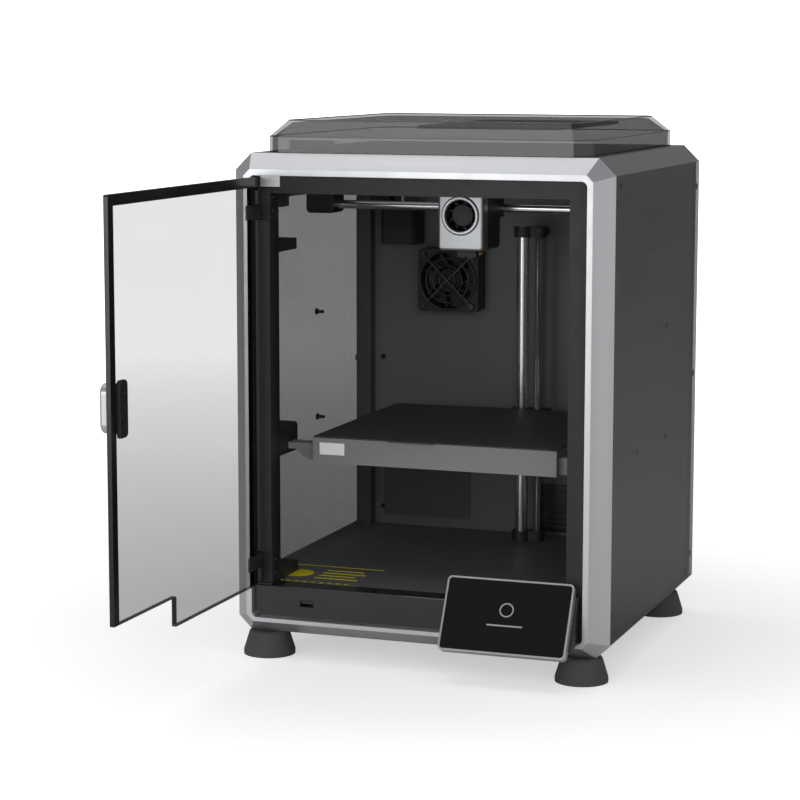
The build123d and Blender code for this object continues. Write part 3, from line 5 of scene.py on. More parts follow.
import bmesh
import bpy
from mathutils import Matrix, Vector
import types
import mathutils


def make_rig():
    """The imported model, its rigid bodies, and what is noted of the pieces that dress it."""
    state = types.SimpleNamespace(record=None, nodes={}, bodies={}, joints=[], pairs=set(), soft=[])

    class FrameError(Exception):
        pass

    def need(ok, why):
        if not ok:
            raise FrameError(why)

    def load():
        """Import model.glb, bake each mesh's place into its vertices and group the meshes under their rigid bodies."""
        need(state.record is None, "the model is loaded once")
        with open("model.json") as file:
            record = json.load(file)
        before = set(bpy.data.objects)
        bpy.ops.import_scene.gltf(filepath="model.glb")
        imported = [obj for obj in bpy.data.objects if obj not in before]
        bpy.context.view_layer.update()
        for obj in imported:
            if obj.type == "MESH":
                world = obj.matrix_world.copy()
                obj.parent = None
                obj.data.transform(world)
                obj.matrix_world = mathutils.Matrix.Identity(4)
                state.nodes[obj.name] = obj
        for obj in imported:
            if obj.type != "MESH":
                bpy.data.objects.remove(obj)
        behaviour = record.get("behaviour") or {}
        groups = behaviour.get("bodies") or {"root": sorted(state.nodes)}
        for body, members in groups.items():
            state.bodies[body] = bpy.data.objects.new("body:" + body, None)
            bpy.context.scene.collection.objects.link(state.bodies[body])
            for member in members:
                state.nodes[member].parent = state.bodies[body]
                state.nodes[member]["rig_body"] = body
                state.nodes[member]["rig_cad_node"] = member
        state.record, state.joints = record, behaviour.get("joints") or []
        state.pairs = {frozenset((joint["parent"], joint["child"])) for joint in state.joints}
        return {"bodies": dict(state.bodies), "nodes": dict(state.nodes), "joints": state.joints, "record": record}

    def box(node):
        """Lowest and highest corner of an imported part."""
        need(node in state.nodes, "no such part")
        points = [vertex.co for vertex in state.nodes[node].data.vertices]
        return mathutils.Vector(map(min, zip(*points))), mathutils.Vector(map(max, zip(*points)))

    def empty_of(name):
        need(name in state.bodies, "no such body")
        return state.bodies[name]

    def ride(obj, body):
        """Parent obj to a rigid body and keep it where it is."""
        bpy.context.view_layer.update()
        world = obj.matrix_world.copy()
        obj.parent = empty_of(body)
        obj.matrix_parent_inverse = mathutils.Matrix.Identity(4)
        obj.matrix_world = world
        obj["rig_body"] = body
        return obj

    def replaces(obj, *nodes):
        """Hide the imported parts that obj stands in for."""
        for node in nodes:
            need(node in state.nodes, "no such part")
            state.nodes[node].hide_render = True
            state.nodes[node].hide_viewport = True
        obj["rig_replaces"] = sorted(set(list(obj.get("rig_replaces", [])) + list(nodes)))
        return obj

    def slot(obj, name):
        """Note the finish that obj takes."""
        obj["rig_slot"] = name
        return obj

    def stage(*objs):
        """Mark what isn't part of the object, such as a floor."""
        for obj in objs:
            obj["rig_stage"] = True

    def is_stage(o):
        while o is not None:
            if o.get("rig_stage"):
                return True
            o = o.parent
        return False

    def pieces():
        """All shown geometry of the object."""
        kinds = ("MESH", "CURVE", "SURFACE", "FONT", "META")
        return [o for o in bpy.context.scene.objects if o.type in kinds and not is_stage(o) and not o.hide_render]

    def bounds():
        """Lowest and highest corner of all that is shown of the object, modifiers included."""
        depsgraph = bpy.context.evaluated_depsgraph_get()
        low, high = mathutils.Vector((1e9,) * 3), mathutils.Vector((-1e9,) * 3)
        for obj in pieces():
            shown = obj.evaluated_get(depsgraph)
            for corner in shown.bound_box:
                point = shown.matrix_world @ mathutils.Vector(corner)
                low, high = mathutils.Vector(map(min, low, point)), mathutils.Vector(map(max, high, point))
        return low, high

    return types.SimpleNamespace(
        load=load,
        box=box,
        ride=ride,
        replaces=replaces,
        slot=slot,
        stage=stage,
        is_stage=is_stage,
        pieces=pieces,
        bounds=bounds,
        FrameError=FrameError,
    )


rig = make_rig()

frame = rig.load()
cad_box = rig.bounds()
NODES = frame["nodes"]
MM = 0.001


# ---------------------------------------------------------------- materials
def linear(r, g, b):
    """An sRGB colour, 0 to 255, as the linear one that the shader wants."""
    return tuple(((c / 255 + 0.055) / 1.055) ** 2.4 if c > 10 else c / 255 / 12.92 for c in (r, g, b))


def node(tree, kind, **settings):
    made = tree.nodes.new(kind)
    for key, value in settings.items():
        setattr(made, key, value)
    return made


def finish(
    name, colour, rough, metal=0.0, mottle=0.06, mottle_size=0.02, grain_size=0.0008,
    grain=0.05, wear=None, wear_at=0.55, coat=0.0, edge=0.3, specular=0.5, stretch=(1, 1, 1),
):
    """A moulded, painted or machined finish: uneven colour and gloss, a fine grain, and rounded worn edges.

    stretch squeezes the grain along an axis, which makes brush marks. Sizes are in metres, edge in mm.
    """
    material = bpy.data.materials.new(name)
    material.use_nodes = True
    tree = material.node_tree
    shader = tree.nodes["Principled BSDF"]
    shader.inputs["Metallic"].default_value = metal
    shader.inputs["Coat Weight"].default_value = coat
    shader.inputs["Coat Roughness"].default_value = 0.08
    shader.inputs["Specular IOR Level"].default_value = specular
    place = node(tree, "ShaderNodeTexCoord")
    scale = node(tree, "ShaderNodeMapping")
    scale.inputs["Scale"].default_value = stretch
    tree.links.new(place.outputs["Object"], scale.inputs["Vector"])

    def noise(size, detail):
        made = node(tree, "ShaderNodeTexNoise")
        made.inputs["Scale"].default_value = 1 / size
        made.inputs["Detail"].default_value = detail
        tree.links.new(scale.outputs["Vector"], made.inputs["Vector"])
        return made.outputs["Fac"]

    broad = noise(mottle_size, 3)
    fine = noise(grain_size, 2)
    tint = node(tree, "ShaderNodeMix", data_type="RGBA")
    tint.inputs["A"].default_value = (*[c * (1 - mottle) for c in colour], 1)
    tint.inputs["B"].default_value = (*[min(1, c * (1 + mottle)) for c in colour], 1)
    tree.links.new(broad, tint.inputs["Factor"])
    result = tint.outputs["Result"]
    if wear is not None:
        shape = node(tree, "ShaderNodeNewGeometry")
        limit = node(tree, "ShaderNodeMapRange")
        limit.inputs["From Min"].default_value = wear_at
        limit.inputs["From Max"].default_value = wear_at + 0.12
        tree.links.new(shape.outputs["Pointiness"], limit.inputs["Value"])
        worn = node(tree, "ShaderNodeMix", data_type="RGBA")
        worn.inputs["B"].default_value = (*wear, 1)
        tree.links.new(limit.outputs["Result"], worn.inputs["Factor"])
        tree.links.new(result, worn.inputs["A"])
        result = worn.outputs["Result"]
    tree.links.new(result, shader.inputs["Base Color"])
    gloss = node(tree, "ShaderNodeMapRange")
    gloss.inputs["To Min"].default_value = max(0.01, rough * 0.85)
    gloss.inputs["To Max"].default_value = min(1, rough * 1.2)
    tree.links.new(broad, gloss.inputs["Value"])
    tree.links.new(gloss.outputs["Result"], shader.inputs["Roughness"])
    bump = node(tree, "ShaderNodeBump")
    bump.inputs["Strength"].default_value = grain
    bump.inputs["Distance"].default_value = 0.0002
    tree.links.new(fine, bump.inputs["Height"])
    if edge:
        rounding = node(tree, "ShaderNodeBevel", samples=4)
        rounding.inputs["Radius"].default_value = edge * MM
        tree.links.new(rounding.outputs["Normal"], bump.inputs["Normal"])
    tree.links.new(bump.outputs["Normal"], shader.inputs["Normal"])
    return material


def band_mask(tree, axis, start, end):
    """1 where the object coordinate on that axis lies from start to end, in metres."""
    place = node(tree, "ShaderNodeTexCoord")
    split = node(tree, "ShaderNodeSeparateXYZ")
    tree.links.new(place.outputs["Object"], split.inputs["Vector"])
    outputs = []
    for limit, operation in ((start, "GREATER_THAN"), (end, "LESS_THAN")):
        test = node(tree, "ShaderNodeMath", operation=operation)
        test.inputs[1].default_value = limit
        tree.links.new(split.outputs[axis], test.inputs[0])
        outputs.append(test.outputs["Value"])
    both = node(tree, "ShaderNodeMath", operation="MULTIPLY")
    tree.links.new(outputs[0], both.inputs[0])
    tree.links.new(outputs[1], both.inputs[1])
    return both.outputs["Value"]


SILVER = finish("silver_paint", linear(196, 198, 201), 0.34, metal=0.8, grain=0.06, mottle=0.03,
                wear=linear(220, 221, 223), edge=0.5)
CASING_GREY = finish("dark_silver_paint", linear(122, 123, 126), 0.4, metal=0.6, grain=0.07, edge=0.6)
HEAD_SILVER = finish("head_silver", linear(160, 162, 165), 0.3, metal=0.8, grain=0.05, edge=0.5)
BLACK = finish("black_plastic", linear(22, 22, 23), 0.48, grain=0.14, grain_size=0.0005, mottle=0.12,
               wear=linear(50, 50, 52))
GREY_PLASTIC = finish("grey_plastic", linear(38, 38, 40), 0.5, grain=0.14, mottle=0.1,
                      wear=linear(84, 84, 86))
SHEET = finish("powder_coat", linear(112, 112, 114), 0.5, grain=0.22, grain_size=0.0006, mottle=0.08)
BED_SHEET = finish("bed_powder_coat", linear(132, 132, 135), 0.5, grain=0.2, grain_size=0.0006, mottle=0.05,
                   wear=linear(160, 160, 163), wear_at=0.58)
PLATE = finish("print_surface", linear(68, 66, 69), 0.6, grain=0.5, grain_size=0.0012, mottle=0.14,
               mottle_size=0.006)
CHROME = finish("ground_rod", linear(226, 228, 231), 0.2, metal=1.0, grain=0.03, stretch=(1, 1, 40), edge=0)
STEEL = finish("steel", linear(160, 160, 163), 0.32, metal=1.0, grain=0.08, mottle=0.1)
ALUMINIUM = finish("machined_aluminium", linear(172, 173, 176), 0.34, metal=1.0, grain=0.1,
                   stretch=(1, 1, 6))
BLACK_STEEL = finish("black_oxide", linear(34, 34, 35), 0.5, metal=0.2, grain=0.1, wear=linear(58, 58, 60))
RUBBER = finish("rubber", linear(70, 71, 73), 0.68, grain=0.2, mottle=0.14, wear=linear(92, 93, 94),
                edge=0.8)
BELT = finish("belt", linear(24, 24, 24), 0.7, grain=0.4, grain_size=0.001)
BRASS = finish("brass", linear(196, 158, 82), 0.3, metal=1.0, grain=0.06)
BOARD = finish("board", linear(20, 78, 46), 0.45, mottle=0.2, mottle_size=0.008)
GLOSS_BLACK = finish("gloss_black", linear(36, 36, 38), 0.14, mottle=0.05, coat=0.6, grain=0.01, edge=0.4)
SCREEN = finish("screen_glass", linear(8, 8, 9), 0.06, mottle=0.05, grain=0.0, edge=0, specular=0.35)
WHITE_PLATE = finish("blank_plate", linear(252, 252, 251), 0.4, mottle=0.01)
YELLOW = finish("yellow_print", linear(255, 240, 30), 0.5, mottle=0.04)
LIGHT_GREY = finish("light_plastic", linear(176, 178, 178), 0.35, mottle=0.06)


def tinted_sheet(name, tint, gloss, rough, rounded=0.0):
    """Clear sheet that darkens what is behind it, with a faint uneven gloss. tint is for one face."""
    material = bpy.data.materials.new(name)
    material.use_nodes = True
    tree = material.node_tree
    tree.nodes.remove(tree.nodes["Principled BSDF"])
    through = node(tree, "ShaderNodeBsdfTransparent")
    through.inputs["Color"].default_value = (*tint, 1)
    shine = node(tree, "ShaderNodeBsdfGlossy")
    place = node(tree, "ShaderNodeTexCoord")
    streaks = node(tree, "ShaderNodeTexNoise")
    streaks.inputs["Scale"].default_value = 30
    tree.links.new(place.outputs["Object"], streaks.inputs["Vector"])
    uneven = node(tree, "ShaderNodeMapRange")
    uneven.inputs["To Min"].default_value = rough * 0.6
    uneven.inputs["To Max"].default_value = rough * 1.4
    tree.links.new(streaks.outputs["Fac"], uneven.inputs["Value"])
    tree.links.new(uneven.outputs["Result"], shine.inputs["Roughness"])
    if rounded:
        rounding = node(tree, "ShaderNodeBevel", samples=6)
        rounding.inputs["Radius"].default_value = rounded * MM
        tree.links.new(rounding.outputs["Normal"], shine.inputs["Normal"])
    facing = node(tree, "ShaderNodeLayerWeight")
    facing.inputs["Blend"].default_value = 0.15
    amount = node(tree, "ShaderNodeMapRange")
    amount.inputs["To Min"].default_value = gloss
    amount.inputs["To Max"].default_value = min(1.0, gloss * 4)
    tree.links.new(facing.outputs["Facing"], amount.inputs["Value"])
    mix = node(tree, "ShaderNodeMixShader")
    tree.links.new(amount.outputs["Result"], mix.inputs["Fac"])
    tree.links.new(through.outputs["BSDF"], mix.inputs[1])
    tree.links.new(shine.outputs["BSDF"], mix.inputs[2])
    tree.links.new(mix.outputs["Shader"], tree.nodes["Material Output"].inputs["Surface"])
    return material


def door_finish():
    """Tinted glass with a black printed border on its top, free and hinge edges."""
    border = 9.0 * MM
    low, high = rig.box("door_glass")
    material = tinted_sheet("door_glass", (0.68, 0.68, 0.68), 0.02, 0.04)
    tree = material.node_tree
    output = tree.nodes["Material Output"]
    total = None
    bands = (
        ("Y", low.y - 1, low.y + border),
        ("Y", high.y - border, high.y + 1),
        ("Z", high.z - border, high.z + 1),
    )
    for axis, start, end in bands:
        mask = band_mask(tree, axis, start, end)
        if total is None:
            total = mask
            continue
        join = node(tree, "ShaderNodeMath", operation="MAXIMUM")
        tree.links.new(total, join.inputs[0])
        tree.links.new(mask, join.inputs[1])
        total = join.outputs["Value"]
    paint = node(tree, "ShaderNodeBsdfPrincipled")
    paint.inputs["Base Color"].default_value = (*linear(16, 16, 17), 1)
    paint.inputs["Roughness"].default_value = 0.22
    mix = node(tree, "ShaderNodeMixShader")
    tree.links.new(total, mix.inputs["Fac"])
    tree.links.new(output.inputs["Surface"].links[0].from_socket, mix.inputs[1])
    tree.links.new(paint.outputs["BSDF"], mix.inputs[2])
    tree.links.new(mix.outputs["Shader"], output.inputs["Surface"])
    return material


SMOKE = tinted_sheet("smoked_acrylic", (0.37, 0.37, 0.375), 0.1, 0.12)
LID_SMOKE = tinted_sheet("lid_smoke", (0.5, 0.5, 0.505), 0.05, 0.03)
# light grey finish that paints the highlight along the lid's edges
LID_EDGE_PAINTED_HIGHLIGHT = finish("lid_edge_painted_highlight", linear(120, 121, 123), 0.2, mottle=0.2, mottle_size=0.03, grain=0.02)
GLASS_EDGE = finish("glass_edge", linear(66, 68, 68), 0.15, mottle=0.1, grain=0.02)
GUARD = finish("guard_wire", linear(70, 70, 72), 0.35, metal=0.6, grain=0.05)
FOAM = finish("filter_foam", linear(98, 98, 100), 0.95, grain=0.9, grain_size=0.0012, mottle=0.3,
              mottle_size=0.002)

LOOKS = {
    SILVER: ("front_bezel", "door_handle", "display_housing"),
    HEAD_SILVER: ("head_cover",),
    CASING_GREY: ("top_frame", "bottom_pan"),
    BLACK: (
        "front_liner", "handle_plate", "hinge_blocks", "display_bracket", "power_inlet", "corner_brackets",
        "carriage_left", "carriage_right", "head_body", "head_fan_rotor", "bed_bushings", "z_end_blocks",
        "chamber_fan_housing", "chamber_fan_rotor", "extruder_body",
    ),
    GREY_PLASTIC: ("rear_posts",),
    SHEET: ("rear_panel", "floor_plate"),
    BED_SHEET: ("bed_frame",),
    PLATE: ("build_plate",),
    CHROME: ("guide_rods", "x_rods"),
    STEEL: ("power_supply", "extruder_gear"),
    GUARD: ("chamber_fan_guard", "usb_port"),
    ALUMINIUM: (
        "heated_bed", "carriage_pulleys", "z_motor_pulley", "motor_pulley_left", "motor_pulley_right",
        "idler_front_left", "idler_front_right", "idler_rear_left", "idler_rear_right",
    ),
    BLACK_STEEL: ("panel_screws", "hinge_leaves", "stepper_motors", "extruder_motor"),
    RUBBER: ("feet",),
    BELT: ("x_belts", "frame_belts"),
    BRASS: ("hotend",),
    BOARD: ("mainboard",),
    GLOSS_BLACK: ("lower_front_panel", "power_switch"),
    SCREEN: ("display_glass",),
    SMOKE: ("left_panel", "right_panel"),
    LID_SMOKE: ("lid",),
    door_finish(): ("door_glass",),
}
for material, names in LOOKS.items():
    for name in names:
        NODES[name].data.materials.clear()
        NODES[name].data.materials.append(material)


# ---------------------------------------------------------------- pieces
def piece(name, mesh, material, body, slot):
    """Turns a bmesh into a shaded piece that rides on a CAD body."""
    data = bpy.data.meshes.new(name)
    bmesh.ops.recalc_face_normals(mesh, faces=mesh.faces)
    mesh.to_mesh(data)
    mesh.free()
    data.shade_smooth()
    data.set_sharp_from_angle(angle=math.radians(35))
    data.materials.append(material)
    made = bpy.data.objects.new(name, data)
    bpy.context.scene.collection.objects.link(made)
    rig.ride(made, body)
    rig.slot(made, slot)
    return made


def lathe(mesh, profile, at, axis, steps=32):
    """Adds a closed turned solid: profile is (radius, distance along axis) in mm.

    The profile runs from axis to axis, or ends on its first point to make a ring."""
    turn = Vector(axis).to_track_quat("Z", "Y").to_matrix().to_4x4()
    place = Matrix.Translation(Vector(at)) @ turn
    rings = {}
    for radius, along in dict.fromkeys(profile):
        if radius == 0:
            rings[radius, along] = [mesh.verts.new(place @ Vector((0, 0, along * MM)))]
            continue
        ring = []
        for k in range(steps):
            angle = 2 * math.pi * k / steps
            spot = Vector((radius * math.cos(angle), radius * math.sin(angle), along)) * MM
            ring.append(mesh.verts.new(place @ spot))
        rings[radius, along] = ring
    for start, end in zip(profile, profile[1:]):
        a, b = rings[start], rings[end]
        for k in range(steps):
            n = (k + 1) % steps
            corners = [a[k % len(a)], a[n % len(a)], b[n % len(b)], b[k % len(b)]]
            unique = list(dict.fromkeys(corners))
            if len(unique) > 2:
                mesh.faces.new(unique)


def cap_screw(mesh, at, axis, radius=2.8, height=2.4, socket=1.3):
    """Adds a cap screw with a chamfered rim and a round recess."""
    lathe(
        mesh,
        [
            (0, 0), (radius, 0), (radius, height - 0.5), (radius - 0.15, height - 0.15),
            (radius - 0.5, height), (socket + 0.15, height), (socket, height - 0.15),
            (socket, height - 1.3), (0, height - 1.5),
        ],
        at, axis, steps=24,
    )


def slab(mesh, low, high, bevel=0.3, segments=2, turn=None):
    """Adds a box with rounded edges, corners in mm, optionally turned by a matrix about its centre."""
    low, high = Vector(low) * MM, Vector(high) * MM
    made = bmesh.ops.create_cube(mesh, size=1.0)["verts"]
    centre = (low + high) / 2
    size = high - low
    matrix = Matrix.Translation(centre) @ (turn or Matrix.Identity(4)) @ Matrix.Diagonal((*size, 1))
    bmesh.ops.transform(mesh, matrix=matrix, verts=made)
    edges = list({e for v in made for e in v.link_edges})
    bmesh.ops.bevel(mesh, geom=edges, offset=bevel * MM, segments=segments, profile=0.5, affect="EDGES")


def in_mm(node_name):
    low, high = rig.box(node_name)
    return low / MM, high / MM


# lead screws, with a real four-start thread and the belt pulley at the foot
def lead_screw(name):
    low, high = in_mm(name)
    x, y = (low.x + high.x) / 2, (low.y + high.y) / 2
    radius, depth, lead, starts = 4.0, 0.75, 8.0, 4
    around, step = 24, 0.5
    bottom, top = low.z, high.z
    mesh = bmesh.new()
    rings = []
    count = int((top - bottom) / step)
    for i in range(count + 1):
        z = bottom + (top - bottom) * i / count
        ring = []
        for k in range(around):
            angle = 2 * math.pi * k / around
            phase = (z / lead * starts + angle / (2 * math.pi) * starts) % 1
            groove = max(0.0, min(1.0, 2.2 * abs(phase - 0.5) - 0.15))
            r = radius - depth * (1 - groove)
            spot = (x * MM + r * MM * math.cos(angle), y * MM + r * MM * math.sin(angle), z * MM)
            ring.append(mesh.verts.new(spot))
        rings.append(ring)
    for a, b in zip(rings, rings[1:]):
        for k in range(around):
            n = (k + 1) % around
            mesh.faces.new((a[k], a[n], b[n], b[k]))
    mesh.faces.new(rings[0][::-1])
    mesh.faces.new(rings[-1])
    pulley = (high.x - low.x) / 2
    lathe(
        mesh,
        [
            (0, 0.4), (pulley - 0.3, 0.4), (pulley, 0.7), (pulley, 1.6), (pulley - 1.1, 2.0),
            (pulley - 1.1, 8.0), (pulley, 8.4), (pulley, 9.3), (pulley - 0.3, 9.6), (0, 9.6),
        ],
        (x * MM, y * MM, bottom * MM), (0, 0, 1), steps=40,
    )
    made = piece(name + "_threaded", mesh, CHROME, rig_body(name), "polished_steel")
    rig.replaces(made, name)


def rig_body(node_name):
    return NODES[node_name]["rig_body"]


for screw in ("lead_screw_left", "lead_screw_right", "lead_screw_rear"):
    lead_screw(screw)

# screws that show: on the hinge blocks, the carriages and the rear wall
low, high = in_mm("hinge_blocks")
mesh = bmesh.new()
BOLT_INSETS = (8, 20)
for z in [high.z - inset for inset in BOLT_INSETS] + [low.z + inset for inset in BOLT_INSETS]:
    cap_screw(mesh, (high.x * MM, (low.y + 14) * MM, z * MM), (1, 0, 0), 2.6, 2.0)
piece("hinge_bolts", mesh, BLACK_STEEL, "frame", "black_screw")

for side in ("left", "right"):
    low, high = in_mm(f"carriage_{side}")
    centre = (low.x + high.x) / 2
    mesh = bmesh.new()
    for y in (low.y + 5, high.y - 5):
        cap_screw(mesh, (centre * MM, y * MM, high.z * MM), (0, 0, 1), 2.5, 1.8)
    cap_screw(mesh, (centre * MM, low.y * MM, ((low.z + high.z) / 2) * MM), (0, -1, 0), 2.6, 1.8)
    piece(f"carriage_screws_{side}", mesh, STEEL, "gantry", "steel")

low, high = in_mm("rear_panel")
mesh = bmesh.new()
# shares of the wall's half width and of its height
for across in (-0.86, 0.86):
    for rise in (0.12, 0.5, 0.88):
        at = (high.x * across * MM, low.y * MM, (low.z + (high.z - low.z) * rise) * MM)
        cap_screw(mesh, at, (0, -1, 0), 2.4, 1.4)
piece("rear_wall_screws", mesh, BLACK_STEEL, "frame", "black_screw")

# filters inside the rear grille and the rear vent slots, in mm: (x, z) corners
VENT_FILTER = ((-146, 75), (-54, 145))
wall = in_mm("rear_panel")[0].y
fan_low, fan_high = in_mm("chamber_fan_housing")
mesh = bmesh.new()
slab(mesh, (fan_low.x + 4, wall - 0.9, fan_low.z + 4), (fan_high.x - 4, wall - 0.1, fan_high.z - 4), 0.3)
(x0, z0), (x1, z1) = VENT_FILTER
slab(mesh, (x0, wall - 1.2, z0), (x1, wall - 0.1, z1), 0.4)
piece("vent_filters", mesh, FOAM, "frame", "black_plastic")

# plate with the six-sided nuts for the spool holder, and a blank behind the filament hole
SPOOL_NUTS_X = (75, 115)
SPOOL_NUTS_Z = (310, 350)
NUT_PROFILE = [(0, 0), (3.5, 0), (3.5, 2.6), (3.1, 3.0), (0, 3.0)]
plate_margin = 9
mesh = bmesh.new()
slab(
    mesh,
    (SPOOL_NUTS_X[0] - plate_margin, wall - 1.4, SPOOL_NUTS_Z[0] - plate_margin),
    (SPOOL_NUTS_X[1] + plate_margin, wall - 0.1, SPOOL_NUTS_Z[1] + plate_margin),
    0.4,
)
slab(mesh, (92, wall - 1.4, 396), (108, wall - 0.1, 412), 0.4)
for x in SPOOL_NUTS_X:
    for z in SPOOL_NUTS_Z:
        lathe(mesh, NUT_PROFILE, (x * MM, (wall - 1.3) * MM, z * MM), (0, -1, 0), steps=6)
piece("spool_nut_plate", mesh, BLACK_STEEL, "frame", "black_screw")

# slatted cover low on the rear wall
SLATS = 8
SLAT_PITCH = 5.2
SLAT_HEIGHT = 2.6
mesh = bmesh.new()
slab(mesh, (17, wall - 2.2, 68), (54, wall, 116), 0.6)
for k in range(SLATS):
    z = 72 + SLAT_PITCH * k
    slab(mesh, (20, wall - 3.4, z), (51, wall - 1.6, z + SLAT_HEIGHT), 0.4)
piece("rear_slat_cover", mesh, GREY_PLASTIC, "frame", "grey_plastic")

# blank plate on the front of the bed
low, high = in_mm("bed_frame")
mesh = bmesh.new()
slab(mesh, (-108, low.y - 0.35, high.z - 15), (-84, low.y, high.z - 4), 0.12, 1)
piece("bed_blank_plate", mesh, WHITE_PLATE, "bed", "silver")

# plain yellow label on the floor: two rules, a row of dashes, a blank disc and four bars
FLOOR_LIP = 5.0
LABEL_T = 0.25
DASHES = 11
floor_top = in_mm("floor_plate")[1].z - FLOOR_LIP
label_top = floor_top + LABEL_T
label_left, label_right, label_front, label_back = -160.0, -66.0, -130.0, -58.0
mesh = bmesh.new()
for y in (label_front, label_back):
    slab(mesh, (label_left, y, floor_top), (label_right, y + 1.6, label_top), 0.08, 1)
dash = 4.0
for k in range(DASHES):
    x = label_left + 2 * dash * k
    slab(mesh, (x, label_front + 4, floor_top), (x + dash, label_front + 6.4, label_top), 0.08, 1)
lathe(
    mesh, [(0, 0), (15, 0), (15, LABEL_T - 0.05), (14.8, LABEL_T), (0, LABEL_T)],
    (-138 * MM, -92 * MM, floor_top * MM), (0, 0, 1), steps=40,
)
for k in range(4):
    y = -108 + 11 * k
    slab(mesh, (-116, y, floor_top), (-74 - 6 * (k % 2), y + 3, label_top), 0.08, 1)
piece("floor_label", mesh, YELLOW, "frame", "steel_sheet")

# inner panel of the lid, with two rows of studs
STUDS_PER_ROW = (9, 5)
STUD_PITCH = 12
ROW_PITCH = 14
STUD_PROFILE = [(0, 0), (1.9, 0), (1.9, 0.5), (1.5, 0.9), (0, 0.9)]
low, high = in_mm("lid")
mesh = bmesh.new()
slab(mesh, (-20, low.y + 42, high.z - 7.5), (110, high.y - 60, high.z - 4.5), 0.8)
piece("lid_inner_panel", mesh, BLACK, "lid", "black_plastic")
mesh = bmesh.new()
for row, count in enumerate(STUDS_PER_ROW):
    for k in range(count):
        at = ((-8 + STUD_PITCH * k) * MM, (low.y + 56 + ROW_PITCH * row) * MM, (high.z - 4.6) * MM)
        lathe(mesh, STUD_PROFILE, at, (0, 0, 1), steps=16)
piece("lid_panel_studs", mesh, LIGHT_GREY, "lid", "grey_plastic")


def bead(mesh, corners, radius):
    """Adds a thin closed bead, round in section, along a level loop of corner points in mm."""
    around = 8
    rings = []
    count = len(corners)
    for i, corner in enumerate(corners):
        ahead = (Vector(corners[(i + 1) % count]) - Vector(corner)).normalized()
        behind = (Vector(corner) - Vector(corners[i - 1])).normalized()
        side = (ahead + behind).normalized().cross(Vector((0, 0, 1)))
        ring = []
        for k in range(around):
            angle = 2 * math.pi * k / around
            spot = Vector(corner) + radius * (side * math.cos(angle) + Vector((0, 0, math.sin(angle))))
            ring.append(mesh.verts.new(spot * MM))
        rings.append(ring)
    for i in range(count):
        a, b = rings[i], rings[(i + 1) % count]
        for k in range(around):
            n = (k + 1) % around
            mesh.faces.new((a[k], a[n], b[n], b[k]))


def cut_corners(x0, x1, y0, y1, cut, z):
    """The eight corner points of a level rectangle with its corners cut off."""
    return [
        (x0 + cut, y0, z), (x1 - cut, y0, z), (x1, y0 + cut, z), (x1, y1 - cut, z),
        (x1 - cut, y1, z), (x0 + cut, y1, z), (x0, y1 - cut, z), (x0, y0 + cut, z),
    ]


# painted highlight on the lid's edges: light grey beads round its flat top and along its shoulder stand in for the
# light its edges catch
low, high = in_mm("lid")
mesh = bmesh.new()
inset_x, inset_y = 15.2, 17.1
bead(
    mesh,
    cut_corners(low.x + inset_x, high.x - inset_x, low.y + inset_y, high.y - 24.0, 6.0, high.z - 0.55),
    0.5,
)
bead(mesh, cut_corners(low.x + 0.6, high.x - 0.6, low.y + 0.6, high.y - 0.6, 14.0, low.z + 13.9), 0.5)
piece("lid_painted_highlight_beads", mesh, LID_EDGE_PAINTED_HIGHLIGHT, "lid", "lid_smoke")

# bare glass edges along the bottom of the door and round its notch
low, high = in_mm("door_glass")
notch_y, notch_z = low.y + 114.0, 93.0
mesh = bmesh.new()
for y0, y1, z0, z1 in (
    (notch_y, high.y, low.z, low.z + 0.9),
    (low.y, notch_y, notch_z, notch_z + 0.9),
    (notch_y, notch_y + 0.9, low.z, notch_z),
):
    slab(mesh, (low.x - 0.1, y0, z0), (high.x + 0.1, y1, z1), 0.15, 1)
piece("door_bare_edges", mesh, GLASS_EDGE, "door", "door_glass")

# handle recess on the front slope of the lid: a shallow moulded grip below the surface
low, high = in_mm("lid")
mesh = bmesh.new()
slab(mesh, (-126, low.y + 4, low.z + 3), (-84, low.y + 7, low.z + 11), 1.2, 3)
piece("lid_grip", mesh, GLOSS_BLACK, "lid", "gloss_black")

# generic picture on the display: a ring and a progress bar, lying on the slanted glass
low, high = in_mm("display_glass")
slope = Vector((0, high.y - low.y, high.z - low.z)).normalized()
out = Vector((0, -slope.z, slope.y))
spin = Matrix((Vector((1, 0, 0)), slope, out)).transposed().to_4x4()
centre = Vector(((low.x + high.x) / 2, (low.y + high.y) / 2, (low.z + high.z) / 2)) + out * 0.6
mesh = bmesh.new()
ring_profile = [(5.2, 0), (6.4, 0), (6.4, 0.15), (5.2, 0.15), (5.2, 0)]
lathe(mesh, ring_profile, (centre + slope * 6) * MM, out, steps=40)
bar_middle = centre - slope * 8
bar_size = Vector((32, 1.4, 0.15))
slab(mesh, bar_middle - bar_size / 2, bar_middle + bar_size / 2, 0.05, 1, spin)
piece("display_picture", mesh, LIGHT_GREY, "frame", "screen_glass")

# bright ring round the bore of the print head
HEAD_BORE_X = 6.3
HEAD_BORE_Z = 395.7
BORE_RING_PROFILE = [
    (14.3, -0.3), (14.9, -0.8), (16.6, -0.8), (17.2, -0.3), (17.2, 0.2), (14.3, 0.2), (14.3, -0.3),
]
front = in_mm("head_cover")[0].y
mesh = bmesh.new()
lathe(mesh, BORE_RING_PROFILE, (HEAD_BORE_X * MM, front * MM, HEAD_BORE_Z * MM), (0, 1, 0), steps=56)
piece("head_ring", mesh, ALUMINIUM, "head", "silver")

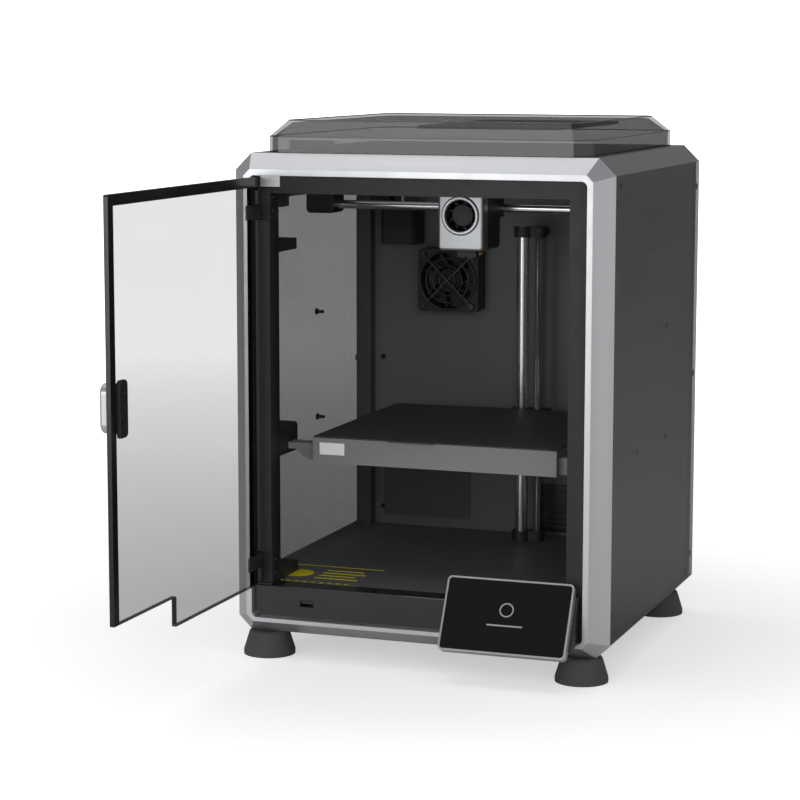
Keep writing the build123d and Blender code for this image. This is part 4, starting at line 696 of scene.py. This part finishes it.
# ---------------------------------------------------------------- stage
floor_data = bpy.data.meshes.new("studio_floor")
floor_mesh = bmesh.new()
bmesh.ops.create_grid(floor_mesh, x_segments=4, y_segments=4, size=8.0)
floor_mesh.to_mesh(floor_data)
floor_mesh.free()
floor = bpy.data.objects.new("studio_floor", floor_data)
bpy.context.scene.collection.objects.link(floor)
# the floor glows for camera rays only, more with distance from the object: painted light, which leaves the floor
# darker near the object
white = finish("studio_white", (0.9, 0.9, 0.9), 0.7, mottle=0.01, grain=0.0, edge=0, specular=0.1)
tree = white.node_tree
shader = tree.nodes["Principled BSDF"]
shader.inputs["Emission Color"].default_value = (1, 1, 1, 1)
place = node(tree, "ShaderNodeTexCoord")
away = node(tree, "ShaderNodeVectorMath", operation="LENGTH")
tree.links.new(place.outputs["Object"], away.inputs[0])
glow = node(tree, "ShaderNodeMapRange")
glow.inputs["From Min"].default_value = 0.3
glow.inputs["From Max"].default_value = 2.2
glow.inputs["To Min"].default_value = 0.5
glow.inputs["To Max"].default_value = 1.5
tree.links.new(away.outputs["Value"], glow.inputs["Value"])
paths = node(tree, "ShaderNodeLightPath")
seen = node(tree, "ShaderNodeMath", operation="MULTIPLY")
tree.links.new(glow.outputs["Result"], seen.inputs[0])
tree.links.new(paths.outputs["Is Camera Ray"], seen.inputs[1])
tree.links.new(seen.outputs["Value"], shader.inputs["Emission Strength"])
floor_data.materials.append(white)
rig.stage(floor)


def softbox(name, at, aim, size, watts):
    lamp = bpy.data.lights.new(name, "AREA")
    lamp.shape = "RECTANGLE"
    lamp.size, lamp.size_y = size
    lamp.energy = watts
    made = bpy.data.objects.new(name, lamp)
    made.location = at
    made.rotation_euler = (Vector(aim) - Vector(at)).to_track_quat("-Z", "Y").to_euler()
    bpy.context.scene.collection.objects.link(made)


softbox("front_left", (-0.9, -2.4, 0.3), (0, 0, 0.25), (1.3, 1.3), 14.0)
softbox("front_key", (1.1, -2.5, 1.0), (0, 0, 0.25), (1.2, 1.2), 11)
softbox("top_soft", (-0.4, -0.1, 2.2), (0, 0, 0.3), (1.8, 1.8), 9)
softbox("right_fill", (2.3, -0.8, 0.7), (0, 0, 0.25), (1.2, 1.2), 3)

world = bpy.data.worlds.new("studio")
bpy.context.scene.world = world
world.use_nodes = True
tree = world.node_tree
background = tree.nodes["Background"]
background.inputs["Color"].default_value = (1, 1, 1, 1)
paths = node(tree, "ShaderNodeLightPath")
strength = node(tree, "ShaderNodeMapRange")
strength.inputs["To Min"].default_value = 0.32
strength.inputs["To Max"].default_value = 2.0
tree.links.new(paths.outputs["Is Camera Ray"], strength.inputs["Value"])
tree.links.new(strength.outputs["Result"], background.inputs["Strength"])
bpy.context.scene.view_settings.view_transform = "Standard"

# ---------------------------------------------------------------- camera
camera_data = bpy.data.cameras.new("camera")
camera_data.lens = 109.457
camera_data.sensor_width = 36
camera = bpy.data.objects.new("camera", camera_data)
right = Vector((0.94067819, 0.33929836, 0.00107703))
up = Vector((-0.04913706, 0.13308647, 0.98988562))
forward = Vector((-0.33572323, 0.93121674, -0.14186366))
facing = Matrix((right, up, -forward)).transposed()
camera.matrix_world = Matrix.Translation((0.69727, -2.13194, 0.54188)) @ facing.to_4x4()
bpy.context.scene.collection.objects.link(camera)
bpy.context.scene.camera = camera

boxes = {"cad": [list(p) for p in cad_box], "visual": [list(p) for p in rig.bounds()]}
with open("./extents.json", "w") as out:
    json.dump(boxes, out)
